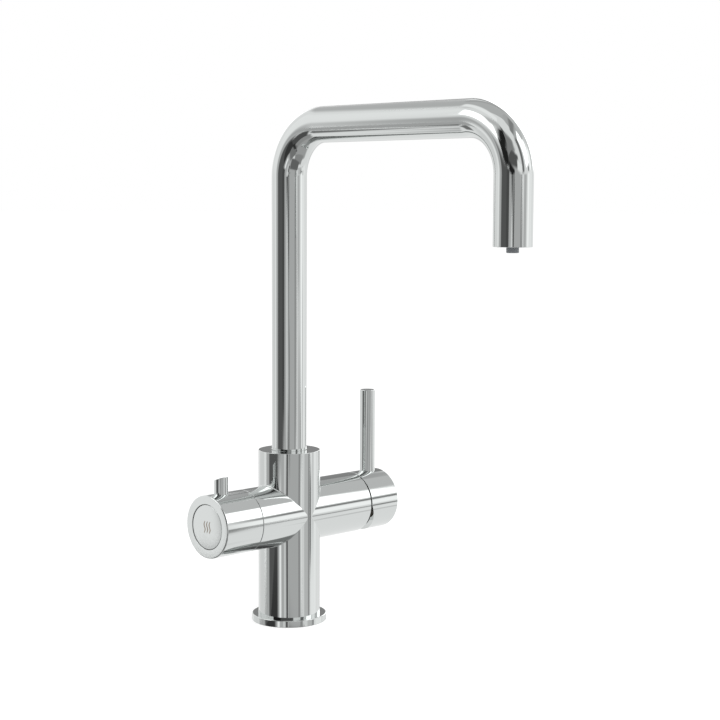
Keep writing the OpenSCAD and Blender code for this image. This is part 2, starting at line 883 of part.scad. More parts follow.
module valve_body() {
    color(brass)
        boiling_side()
            difference() {
                union() {
                    rod_x(valve_start, collar_end + past, valve_thread_r - seat_gap);
                    translate([collar_end, 0, arm_z])
                        rotate([0, 90, 0])
                            cylinder(r = hex_corner_r, h = hex_t, $fn = 6);
                    rod_x(hex_end - past, guide_end, guide_r);
                }
                rod_x(valve_seat - past, foot_end_u + slip, valve_bore_r);
                rod_x(foot_end_u, guide_end + past, shaft_r + run_gap);
                translate([window_u, 0, arm_z])
                    for (turn = [0, 90])
                        rotate([turn, 0, 0])
                            translate([0, 0, -valve_thread_r - past])
                                cylinder(r = window_hole_r, h = 2 * (valve_thread_r + past));
            }
}

module valve_seat_seal() {
    seal_wall = 2.1;
    seal_r = valve_bore_r - run_gap;
    color(rubber)
        boiling_side()
            ring_x(valve_start, fixed_u, seal_r, seal_r - seal_wall);
}

// Half the discs' windows are closed by a quarter turn
module boiling_fixed_disc() {
    color(ceramic)
        boiling_side()
            difference() {
                rod_x(fixed_u, fixed_u + valve_disc_t, valve_bore_r - run_gap);
                for (side = [-1, 1])
                    rod_x(fixed_u - past, moving_u + past, disc_window_r, side * disc_window_at);
            }
}

module boiling_moving_disc() {
    color(ceramic)
        boiling_side()
            difference() {
                rod_x(moving_u, foot_u, valve_bore_r - slip);
                for (side = [-1, 1]) {
                    rod_x(moving_u - past, foot_u + past, disc_window_r, 0, side * disc_window_at);
                    translate([dog_u, side * dog_at - dog_w / 2 - run_gap,
                               arm_z - dog_h / 2 - run_gap])
                        cube([foot_u - dog_u + past, dog_w + 2 * run_gap, dog_h + 2 * run_gap]);
                }
            }
}

module boiling_spindle() {
    dog_gap = 0.2;
    ring_groove_half = 0.75;
    ring_groove_r = shaft_r - 2 * spindle_ring_r + 0.03;
    color(brass)
        boiling_side()
            difference() {
                union() {
                    rod_x(foot_plate_u, foot_end_u, valve_bore_r - slip);
                    for (side = [-1, 1])
                        intersection() {
                            translate([dog_u + dog_gap, side * dog_at - dog_w / 2,
                                       arm_z - dog_h / 2])
                                cube([foot_plate_u - dog_u - dog_gap + past, dog_w, dog_h]);
                            rod_x(foot_u - past, foot_end_u, valve_bore_r - slip);
                        }
                    rod_x(foot_plate_u, web_u, shaft_r);
                    intersection() {
                        rod_x(web_u - past, spindle_end, spline_r);
                        translate([web_u - past, -spline_flat / 2, arm_z - spline_r])
                            cube([spindle_end - web_u + past, spline_flat, 2 * spline_r]);
                    }
                }
                for (u = spindle_ring_u)
                    ring_x(u - ring_groove_half, u + ring_groove_half, shaft_r + past,
                           ring_groove_r);
                ring_x(clip_u - seat_gap, clip_u + clip_t + seat_gap, shaft_r + past,
                       clip_groove_r);
                rod_x(web_u - 2, spindle_end + past, knob_screw_r + seat_gap);
            }
}

module spindle_o_rings() {
    color(rubber)
        boiling_side()
            for (u = spindle_ring_u)
                translate([u, 0, arm_z])
                    rotate([0, 90, 0])
                        rotate_extrude()
                            translate([shaft_r + seat_gap - spindle_ring_r, 0])
                                circle(r = spindle_ring_r);
}

// Open clip that holds the spindle in its guide
module spindle_clip() {
    mouth = 4;
    color(steel)
        boiling_side()
            difference() {
                ring_x(clip_u, clip_u + clip_t, guide_r - edge, clip_groove_r + touch_gap);
                translate([clip_u - past, -mouth / 2, arm_z - guide_r - past])
                    cube([clip_t + 2 * past, mouth, guide_r + past]);
            }
}

// Fixed collar whose curved slot takes the long post and stops the knob at both ends
module stop_collar() {
    slot_r = post_r + slip;
    rim_gap = 0.5;
    color(steel)
        boiling_side()
            difference() {
                ring_x(boiling_arm_l, collar_end, knob_cavity_r - rim_gap,
                       valve_thread_r + run_gap);
                translate([boiling_arm_l - past, 0, arm_z])
                    rotate([0, 90, 0])
                        rotate([0, 0, post_angles[0] + 90])
                            rotate_extrude(angle = knob_turn_deg)
                                translate([post_at - slot_r, 0])
                                    square([2 * slot_r, collar_t + 2 * past]);
                for (a = [post_angles[0], post_angles[0] + knob_turn_deg])
                    rod_x(boiling_arm_l - past, collar_end + past, slot_r,
                          post_at * cos(a), post_at * sin(a));
            }
}

// ---- Boiling knob ----

module boiling_knob() {
    color(chrome)
        boiling_side()
            difference() {
                turned_x([[0, knob_start], [knob_r - thin_edge, knob_start],
                          [knob_r, knob_start + thin_edge], [knob_r, knob_face - edge],
                          [knob_r - edge, knob_face], [0, knob_face]]);
                rod_x(knob_start - past, web_u, knob_cavity_r);
                ring_x(web_end, knob_face + past, button_bore_r, boss_r);
                rod_x(boss_end, knob_face + past, button_bore_r);
                translate([knob_face - thin_edge, 0, arm_z])
                    rotate([0, 90, 0])
                        cylinder(r1 = button_bore_r, r2 = button_bore_r + thin_edge + past,
                                 h = thin_edge + past);
                intersection() {
                    rod_x(web_u - past, spindle_end + run_gap, spline_r + seat_gap);
                    translate([web_u - past, -spline_flat / 2 - seat_gap, arm_z - boss_r])
                        cube([boss_end, spline_flat + 2 * seat_gap, 2 * boss_r]);
                }
                rod_x(spindle_end, boss_end + past, knob_screw_r + slip);
                for (a = post_angles)
                    rod_x(web_u - past, web_end + past, post_r + run_gap,
                          post_at * cos(a), post_at * sin(a));
                rod_z(arm_z + knob_r - grip_stub_l - slip, arm_z + knob_r + past,
                      grip_stub_r + seat_gap, grip_u);
            }
}

module knob_screw() {
    socket_r = 1.4;
    socket_l = 1.4;
    color(steel)
        boiling_side()
            difference() {
                union() {
                    rod_x(web_u, boss_end + past, knob_screw_r);
                    rod_x(boss_end, boss_end + screw_head_t, screw_head_r);
                }
                translate([boss_end + screw_head_t - socket_l, 0, arm_z])
                    rotate([0, 90, 0])
                        cylinder(r = socket_r, h = socket_l + past, $fn = 6);
            }
}

// The grip pin is highest towards the user, and its foot fits the knob's round
module grip_pin() {
    tall = arm_z + knob_r + grip_h;
    color(chrome)
        boiling_side()
            union() {
                difference() {
                    rod_z(arm_z, tall + grip_r, grip_r, grip_u);
                    rod_x(grip_u - grip_r - past, grip_u + grip_r + past, knob_r + touch_gap);
                    translate([grip_u, 0, tall])
                        rotate([-grip_slope_deg, 0, 0])
                            translate([-2 * grip_r, -2 * grip_r, 0])
                                cube([4 * grip_r, 4 * grip_r, 4 * grip_r]);
                }
                rod_z(arm_z + knob_r - grip_stub_l, arm_z + knob_r + past, grip_stub_r, grip_u);
            }
}

module safety_button() {
    crown_steps = 8;
    spring_cup_l = 1.8;
    spring_cup_r = spring_r - 1;
    spring_cup_wall = 1;
    dome_r = (button_r * button_r + crown * crown) / (2 * crown);
    dome = [for (i = [crown_steps : -1 : 1])
                let (r = (button_r - thin_edge) * i / crown_steps)
                    [r, button_edge_u + crown - dome_r + sqrt(dome_r * dome_r - r * r)]];
    color(chrome)
        boiling_side() {
            turned_x(concat([[0, button_back_u], [button_r, button_back_u],
                             [button_r, button_edge_u - thin_edge]], dome,
                            [[0, dome[crown_steps - 1][1]]]));
            ring_x(button_back_u - spring_cup_l, button_back_u + past, spring_cup_r,
                   spring_cup_r - spring_cup_wall);
            for (i = [0 : len(post_angles) - 1])
                rod_x(i == 0 ? post_tip : short_post_tip, button_back_u + past, post_r,
                      post_at * cos(post_angles[i]), post_at * sin(post_angles[i]));
        }
}

// Push-on washers behind the web that keep the button in
module button_clips() {
    color(steel)
        boiling_side()
            for (a = post_angles)
                ring_x(web_u - slip - post_clip_t, web_u - slip, post_clip_r, post_r + touch_gap,
                       post_at * cos(a), post_at * sin(a));
}

function spring_at(i) =
    let (n = spring_turns * spring_steps,
         low = web_end + spring_wire_r + seat_gap,
         high = button_back_u - spring_wire_r - seat_gap)
        [low + (high - low) * i / n, 360 * i / spring_steps];

// Ring number i of the spring's wire, as points about the knob's axis
function spring_ring(i) =
    let (u = spring_at(i)[0], a = spring_at(i)[1])
        [for (s = [0 : spring_sides - 1])
            let (t = 360 * s / spring_sides, r = spring_r + spring_wire_r * cos(t))
                [u + spring_wire_r * sin(t), r * cos(a), r * sin(a)]];

module button_spring() {
    n = spring_turns * spring_steps;
    points = [for (i = [0 : n]) each spring_ring(i)];
    side_faces = [for (i = [0 : n - 1], s = [0 : spring_sides - 1])
        let (a = i * spring_sides + s,
             b = i * spring_sides + (s + 1) % spring_sides)
            each [[a, b, a + spring_sides], [b, b + spring_sides, a + spring_sides]]];
    end_faces = [[for (s = [spring_sides - 1 : -1 : 0]) s],
                 [for (s = [0 : spring_sides - 1]) n * spring_sides + s]];
    color(steel)
        boiling_side()
            translate([0, 0, arm_z])
                polyhedron(points = points, faces = concat(side_faces, end_faces));
}

base_flange();
base_gasket();
body_casting();
spout_tube();
spout_tail();
upper_swivel_bush();
lower_swivel_bush();
spout_o_rings();
spout_grub_screw();
boiling_tube();
boiling_tube_seal();
outlet_insert();
outlet_o_ring();
aerator_screen();
outlet_nozzle();
port_seals();
cartridge_base();
cartridge_housing();
cartridge_nut();
mixer_fixed_disc();
mixer_moving_disc();
disc_carrier();
cartridge_rotor();
stem_pin();
mixer_stem();
mixer_cap();
mixer_lever();
lever_grub_screw();
valve_body();
valve_seat_seal();
boiling_fixed_disc();
boiling_moving_disc();
boiling_spindle();
spindle_o_rings();
spindle_clip();
stop_collar();
boiling_knob();
knob_screw();
grip_pin();
safety_button();
button_clips();
button_spring();
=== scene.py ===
"""Looks of a boiling water tap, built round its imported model.

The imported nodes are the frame. Each piece here sits where its node sits, in metres, and rides
on that node's body. The outer chrome is modelled again with rounded edges and filleted
junctions, and the works inside keep their nodes and get a finish each.
"""

import json
import logging
from collections.abc import Callable, Sequence
from dataclasses import dataclass
from enum import Enum
from math import asin, atan2, cos, hypot, pi, radians, sin, sqrt, tan

import bmesh
import bpy
from mathutils import Matrix, Quaternion, Vector


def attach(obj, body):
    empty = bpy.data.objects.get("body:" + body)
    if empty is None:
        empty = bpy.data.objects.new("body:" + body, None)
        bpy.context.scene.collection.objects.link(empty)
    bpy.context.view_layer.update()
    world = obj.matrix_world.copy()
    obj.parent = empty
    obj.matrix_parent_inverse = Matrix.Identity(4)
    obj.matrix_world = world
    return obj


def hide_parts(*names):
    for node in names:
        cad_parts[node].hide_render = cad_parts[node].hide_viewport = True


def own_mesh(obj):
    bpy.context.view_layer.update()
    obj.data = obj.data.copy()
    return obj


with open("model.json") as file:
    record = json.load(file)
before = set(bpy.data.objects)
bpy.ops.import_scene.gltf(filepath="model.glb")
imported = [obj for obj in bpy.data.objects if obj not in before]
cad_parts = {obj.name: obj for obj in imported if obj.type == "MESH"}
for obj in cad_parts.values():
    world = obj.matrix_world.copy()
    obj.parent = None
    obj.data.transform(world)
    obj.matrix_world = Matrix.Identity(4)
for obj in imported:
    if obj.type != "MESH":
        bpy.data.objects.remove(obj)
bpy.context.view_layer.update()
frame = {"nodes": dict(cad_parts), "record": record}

log = logging.getLogger("tap")

MM = 0.001
SIDES = 160          # facets round a turned piece
FINE_SIDES = 64      # facets round a pin or a hole
SAME = 1e-4          # two places closer than this, in millimetres, are one
SHARP_DEG = 32.0     # a fold steeper than this stays a hard edge
RIM_DEG = 50.0       # a fold steeper than this is a rim, to be rounded
WHITE = (1.0, 1.0, 1.0, 1.0)

Colour = tuple[float, float, float, float]
Mesh, Vert, Edge, Face = bmesh.types.BMesh, bmesh.types.BMVert, bmesh.types.BMEdge, bmesh.types.BMFace
Thing = bpy.types.Object
Tree, Node, Socket = bpy.types.NodeTree, bpy.types.Node, bpy.types.NodeSocket


class Slot(Enum):
    """The record's material slots."""

    CHROME = "polished_chrome"
    BRASS = "machined_brass"
    STEEL = "stainless_steel"
    RUBBER = "seal_rubber"
    WHITE = "white_plastic"
    GREY = "grey_plastic"
    BLACK = "black_plastic"
    CERAMIC = "ceramic_disc"


class Body(Enum):
    """The bodies that move as one."""

    FIXED = "body"
    SPOUT = "spout"
    HANDLE = "mixer_handle"
    KNOB = "knob"
    BUTTON = "button"


class Join(Enum):
    """How two closed shapes are put together."""

    ADD = "UNION"
    CUT = "DIFFERENCE"


# ---- Finishes ----


def linear(hex_colour: str) -> Colour:
    """Turn an sRGB colour into the linear one that shaders take.

    Args:
        hex_colour: The colour as "#rrggbb".

    Returns:
        Linear red, green and blue, and an alpha of 1.
    """
    steps = [int(hex_colour[i : i + 2], 16) / 255 for i in (1, 3, 5)]
    red, green, blue = (s / 12.92 if s <= 0.04045 else ((s + 0.055) / 1.055) ** 2.4 for s in steps)
    return red, green, blue, 1.0


def bare_tree(owner: bpy.types.ID) -> Tree:
    """Switch a material or world to nodes, and return its tree with nothing in it."""
    owner.use_nodes = True
    owner.node_tree.nodes.clear()
    return owner.node_tree


def add_node(tree: Tree, kind: str, settings: dict | None = None, links: dict | None = None) -> Node:
    """Add a node with its settings and links.

    Args:
        tree: The node tree to add to.
        kind: The node's type, as Blender names it after "ShaderNode".
        settings: Values by input name or number, or by the node's own property.
        links: Output sockets by the name or number of the input that they go to.

    Returns:
        The new node.
    """
    node = tree.nodes.new("ShaderNode" + kind)
    for key, value in (settings or {}).items():
        if isinstance(key, int) or key in node.inputs:
            node.inputs[key].default_value = value
        else:
            setattr(node, key, value)
    for key, source in (links or {}).items():
        tree.links.new(source, node.inputs[key])
    return node


@dataclass(frozen=True)
class Patches:
    """A cloudy pattern, from 0 to 1.

    Args:
        size: Size of its patches, in metres.
        layers: Layers of finer patches in them.
        contrast: Strength of a layer beside that of the one before.
        drawn: Scales along X, Y and Z, which draw it out where they are under 1.
    """

    size: float
    layers: float
    contrast: float = 0.5
    drawn: tuple[float, float, float] | None = None
    kind: str = "TexNoise"

    @property
    def settings(self) -> dict[str, float]:
        """Give its texture's settings."""
        return {"Scale": 1 / self.size, "Detail": self.layers, "Roughness": self.contrast}


@dataclass(frozen=True)
class ToolMarks:
    """The even marks of a turning tool, from 0 to 1.

    Args:
        pitch: Metres from one mark to the next.
        way: The way in which they follow one another.
        stray: How far they stray from a straight line.
        wave: Length of the texture's own wave at a scale of 1.
    """

    pitch: float
    way: str
    stray: float
    wave: float = 0.31
    drawn: None = None
    kind: str = "TexWave"

    @property
    def settings(self) -> dict[str, float | str]:
        """Give its texture's settings."""
        scale = self.wave / self.pitch
        return {"wave_type": "BANDS", "bands_direction": self.way, "Scale": scale, "Distortion": self.stray}


Pattern = Patches | ToolMarks


@dataclass(frozen=True)
class Finish:
    """A surface finish, and the material it makes.

    Args:
        slot: The record's slot that it stands for.
        colour: Its colour as sRGB hex.
        roughness: Its plain roughness.
        spread: How far the roughness goes to each side of that.
        gloss: The pattern that carries the roughness.
        relief: The pattern that stands in relief.
        height: Height of that relief, in metres.
        tint: The pattern that mixes the other colour in, or None for an even colour.
        other: The other colour.
        metallic: 1 for bare metal, 0 for anything else.
        ior: Index of refraction of what isn't metal.
        middle: The part of a pattern's range in which nearly all of it lies.
    """

    slot: Slot
    colour: str
    roughness: float
    spread: float
    gloss: Pattern
    relief: Pattern
    height: float
    tint: Pattern | None = None
    other: str = ""
    metallic: float = 0.0
    ior: float = 1.5
    middle: tuple[float, float] = (0.3, 0.7)

    def material(self) -> bpy.types.Material:
        """Make the material, or return it if this finish has made it already."""
        name = type(self).__name__
        made = bpy.data.materials.get(name)
        if made:
            return made
        made = bpy.data.materials.new(name)
        tree = bare_tree(made)
        place = add_node(tree, "TexCoord").outputs["Object"]
        laid: dict[Pattern | None, Socket | None] = {None: None}
        for pattern in (self.tint, self.gloss, self.relief):
            if pattern in laid:
                continue
            spot = place
            if pattern.drawn:
                mapping = add_node(tree, "Mapping", {"Scale": pattern.drawn}, {"Vector": place})
                spot = mapping.outputs["Vector"]
            laid[pattern] = add_node(tree, pattern.kind, pattern.settings, {"Vector": spot}).outputs["Fac"]
        low, high = self.roughness - self.spread, self.roughness + self.spread
        least, most = self.middle
        span = {"From Min": least, "From Max": most, "To Min": low, "To Max": high}
        rough = add_node(tree, "MapRange", span, {"Value": laid[self.gloss]})
        rise = {"Strength": 1.0, "Distance": self.height}
        bump = add_node(tree, "Bump", rise, {"Height": laid[self.relief]})
        links = {"Roughness": rough.outputs["Result"], "Normal": bump.outputs["Normal"]}
        colour = linear(self.colour)
        if self.tint:
            pair = {"data_type": "RGBA", 6: colour, 7: linear(self.other)}
            links["Base Color"] = add_node(tree, "Mix", pair, {0: laid[self.tint]}).outputs[2]
        plain = {"Base Color": colour, "Metallic": self.metallic, "Roughness": self.roughness}
        shader = add_node(tree, "BsdfPrincipled", {**plain, "IOR": self.ior}, links)
        add_node(tree, "OutputMaterial", links={"Surface": shader.outputs["BSDF"]})
        return made


@dataclass(frozen=True)
class PolishedChrome(Finish):
    """Bright chromium plate on polished brass.

    It gives clear, dark-and-white reflections of the room, a little softened where it was
    wiped, with the slow waviness that a polishing wheel leaves.
    """

    slot: Slot = Slot.CHROME
    colour: str = "#d2d5d4"
    roughness: float = 0.04
    spread: float = 0.015
    gloss: Pattern = Patches(22 * MM, 4, contrast=0.6)
    relief: Pattern = Patches(14 * MM, 1)
    height: float = 3e-3 * MM
    metallic: float = 1.0


@dataclass(frozen=True)
class MachinedBrass(Finish):
    """Turned brass: a yellow metal with fine tool marks, tarnished in patches of a few millimetres."""

    slot: Slot = Slot.BRASS
    colour: str = "#c3a052"
    other: str = "#a78442"
    tint: Pattern = Patches(6 * MM, 3)
    roughness: float = 0.26
    spread: float = 0.06
    gloss: Pattern = tint
    relief: Pattern = ToolMarks(0.4 * MM, "DIAGONAL", 0.4)
    height: float = 2e-3 * MM
    metallic: float = 1.0


@dataclass(frozen=True)
class PaintedShadeBrass(Finish):
    """Brass painted a dull brown-black as painted shade for the seam behind the mixer cap, with lighter
    patches at random.
    """

    slot: Slot = Slot.BRASS
    # Painted shade: these two dark browns make the cartridge nut read as the seam's shadow.
    colour: str = "#2b2620"
    other: str = "#4a3f2e"
    tint: Pattern = Patches(3 * MM, 4)
    roughness: float = 0.5
    spread: float = 0.1
    gloss: Pattern = tint
    relief: Pattern = tint
    height: float = 4e-3 * MM
    metallic: float = 1.0


@dataclass(frozen=True)
class StainlessSteel(Finish):
    """Drawn and turned stainless steel: grey, softly bright, with a fine grain along the arms."""

    slot: Slot = Slot.STEEL
    colour: str = "#b9bab8"
    roughness: float = 0.3
    spread: float = 0.08
    gloss: Pattern = Patches(0.3 * MM, 2, drawn=(0.1, 1.0, 1.0))
    relief: Pattern = gloss
    height: float = 1.5e-3 * MM
    metallic: float = 1.0


@dataclass(frozen=True)
class SealRubber(Finish):
    """Moulded EPDM rubber: a matt black with a dusty bloom and a faint mould texture."""

    slot: Slot = Slot.RUBBER
    colour: str = "#1d1e20"
    other: str = "#34353a"
    tint: Pattern = Patches(4 * MM, 3)
    roughness: float = 0.62
    spread: float = 0.1
    gloss: Pattern = Patches(0.25 * MM, 1)
    relief: Pattern = gloss
    height: float = 6e-3 * MM
    ior: float = 1.52


@dataclass(frozen=True)
class WhiteAcetal(Finish):
    """Turned and drawn white acetal: slightly waxy, warm white, with a satin skin."""

    slot: Slot = Slot.WHITE
    colour: str = "#e7e4dc"
    other: str = "#dedacf"
    tint: Pattern = Patches(9 * MM, 2)
    roughness: float = 0.38
    spread: float = 0.06
    gloss: Pattern = Patches(0.4 * MM, 1)
    relief: Pattern = gloss
    height: float = 2e-3 * MM
    ior: float = 1.48


@dataclass(frozen=True)
class GreyAcetal(Finish):
    """Moulded grey acetal: faint flow marks, and the fine spark-eroded texture of its mould."""

    slot: Slot = Slot.GREY
    colour: str = "#8d9194"
    other: str = "#81868a"
    tint: Pattern = Patches(7 * MM, 2)
    roughness: float = 0.46
    spread: float = 0.08
    gloss: Pattern = Patches(0.3 * MM, 2)
    relief: Pattern = gloss
    height: float = 8e-3 * MM
    ior: float = 1.48


@dataclass(frozen=True)
class GraphiteAcetal(Finish):
    """Turned acetal with flecks of graphite: a soft black with a faint sheen in its level tool marks."""

    slot: Slot = Slot.BLACK
    colour: str = "#2b2c2e"
    other: str = "#38393b"
    tint: Pattern = Patches(0.5 * MM, 2)
    roughness: float = 0.44
    spread: float = 0.08
    gloss: Pattern = tint
    relief: Pattern = ToolMarks(0.2 * MM, "Z", 0.2)
    height: float = 2e-3 * MM


@dataclass(frozen=True)
class LappedCeramic(Finish):
    """Lapped alumina: an ivory white, hard and nearly polished, with grey traces of the lap's metal."""

    slot: Slot = Slot.CERAMIC
    colour: str = "#f0ece2"
    other: str = "#dfdcd4"
    tint: Pattern = Patches(3 * MM, 4)
    roughness: float = 0.16
    spread: float = 0.05
    gloss: Pattern = Patches(0.15 * MM, 1)
    relief: Pattern = gloss
    height: float = 5e-4 * MM
    ior: float = 1.76


@dataclass(frozen=True)
class StovedInk(Finish):
    """Pad-printed ink, stoved hard: a warm grey-brown film with thin places and a dry face."""

    slot: Slot = Slot.GREY
    colour: str = "#8b7c6c"
    other: str = "#9c8e7e"
    tint: Pattern = Patches(0.8 * MM, 3)
    roughness: float = 0.5
    spread: float = 0.08
    gloss: Pattern = tint
    relief: Pattern = tint
    height: float = 2e-3 * MM


FINISHES: dict[Slot, Finish] = {
    f.slot: f
    for f in (
        PolishedChrome(), MachinedBrass(), StainlessSteel(), SealRubber(), WhiteAcetal(), GreyAcetal(),
        GraphiteAcetal(), LappedCeramic(),
    )
}


# ---- Studio ----


def shown(name: str, bm: Mesh) -> Thing:
    """Put a shape in the scene.

    Args:
        name: The object's name.
        bm: Its shape, which is used up.

    Returns:
        The object.
    """
    mesh = bpy.data.meshes.new(name)
    bm.to_mesh(mesh)
    bm.free()
    thing = bpy.data.objects.new(name, mesh)
    bpy.context.scene.collection.objects.link(thing)
    return thing


def axes_at(azimuth: float, elevation: float, turn: float) -> Matrix:
    """Give the axes of a thing that faces the tap.

    Args:
        azimuth: Degrees that it stands round the tap, from the user's side towards +X.
        elevation: Degrees over the horizon.
        turn: Degrees that it is turned in its own plane, anticlockwise.

    Returns:
        Its rotation, with the columns right, up and away from the tap.
    """
    a, e, t = radians(azimuth), radians(elevation), radians(turn)
    away = Vector((sin(a) * cos(e), -cos(a) * cos(e), sin(e)))
    right = Vector((cos(a), sin(a), 0.0))
    up = away.cross(right)
    right, up = cos(t) * right + sin(t) * up, cos(t) * up - sin(t) * right
    return Matrix((right, up, away)).transposed()


def sheet(name: str, half: Sequence[float], low: float = 0.0) -> Thing:
    """Make a flat sheet in the scene.

    Args:
        name: Its name.
        half: Half its width and half its length.
        low: How far under its origin it lies.

    Returns:
        The sheet's object.
    """
    bm = bmesh.new()
    bmesh.ops.create_grid(bm, x_segments=1, y_segments=1, size=1.0)
    bmesh.ops.scale(bm, vec=(*half, 1.0), verts=bm.verts)
    bmesh.ops.translate(bm, vec=(0.0, 0.0, -low), verts=bm.verts)
    return shown(name, bm)


@dataclass(frozen=True)
class Card:
    """A board round the tap that only its reflections show: a lit softbox or a dark flag.

    Args:
        name: What the board is.
        azimuth: Degrees to the right of the camera's back, seen from the tap.
        elevation: Degrees over the horizon.
        width: Angle that it takes up from side to side, in degrees.
        height: Angle that it takes up from top to bottom, in degrees.
        edge: Width of its soft edge, in degrees.
        level: Its brightness, where 1 is white.
        turn: Degrees that it is turned in its own plane, anticlockwise.
    """

    name: str
    azimuth: float
    elevation: float
    width: float
    height: float
    edge: float
    level: float
    turn: float = 0.0

    def build(self, distance: float, facing: float) -> None:
        """Make the board, facing the tap.

        Args:
            distance: How far away it stands.
            facing: Azimuth of the camera, from which the board's own is counted.
        """
        axes = axes_at(self.azimuth + facing, self.elevation, self.turn)
        half = [distance * tan(radians(x / 2)) for x in (self.width, self.height)]
        soft = distance * tan(radians(self.edge / 2))
        board = sheet(self.name, [x + soft for x in half])
        board.matrix_world = Matrix.Translation(axes.col[2] * distance) @ axes.to_4x4()
        board.data.materials.append(self.material(half, soft))
        board.visible_camera = board.visible_diffuse = board.visible_shadow = False

    def material(self, half: Sequence[float], soft: float) -> bpy.types.Material:
        """Make the board's glow, which fades out at its edges.

        Args:
            half: Half its width and half its height, in metres.
            soft: Half the width of the soft edge, in metres.

        Returns:
            The material.
        """
        made = bpy.data.materials.new(self.name)
        made.cycles.emission_sampling = "NONE"
        tree = bare_tree(made)
        place = add_node(tree, "TexCoord").outputs["Object"]
        across = add_node(tree, "SeparateXYZ", links={0: place})
        shares = []
        for axis, reach in enumerate(half):
            off = add_node(tree, "Math", {"operation": "ABSOLUTE"}, {0: across.outputs[axis]})
            fade = {"interpolation_type": "SMOOTHSTEP", "From Min": reach + soft, "From Max": reach - soft}
            shares.append(add_node(tree, "MapRange", fade, {"Value": off.outputs[0]}).outputs["Result"])
        cover = add_node(tree, "Math", {"operation": "MULTIPLY"}, {0: shares[0], 1: shares[1]})
        glow = add_node(tree, "Emission", {"Strength": self.level})
        clear = add_node(tree, "BsdfTransparent")
        both = {0: cover.outputs[0], 1: clear.outputs[0], 2: glow.outputs[0]}
        mix = add_node(tree, "MixShader", links=both)
        add_node(tree, "OutputMaterial", links={"Surface": mix.outputs[0]})
        return made


@dataclass(frozen=True)
class Lamp:
    """A square lamp that lights what isn't bare metal and gives the floor its shadow.

    Args:
        name: Which lamp it is.
        place: Where it stands, in metres.
        size: Length of its side.
        power: Its power in watts.
    """

    name: str
    place: tuple[float, float, float]
    size: float
    power: float

    def build(self, target: Vector) -> None:
        """Make the lamp, aimed at the target."""
        data = bpy.data.lights.new(self.name, "AREA")
        data.size, data.energy = self.size, self.power
        lamp = bpy.data.objects.new(self.name, data)
        lamp.location = self.place
        lamp.rotation_euler = (target - Vector(self.place)).to_track_quat("-Z", "Y").to_euler()
        lamp.visible_glossy = False
        bpy.context.scene.collection.objects.link(lamp)


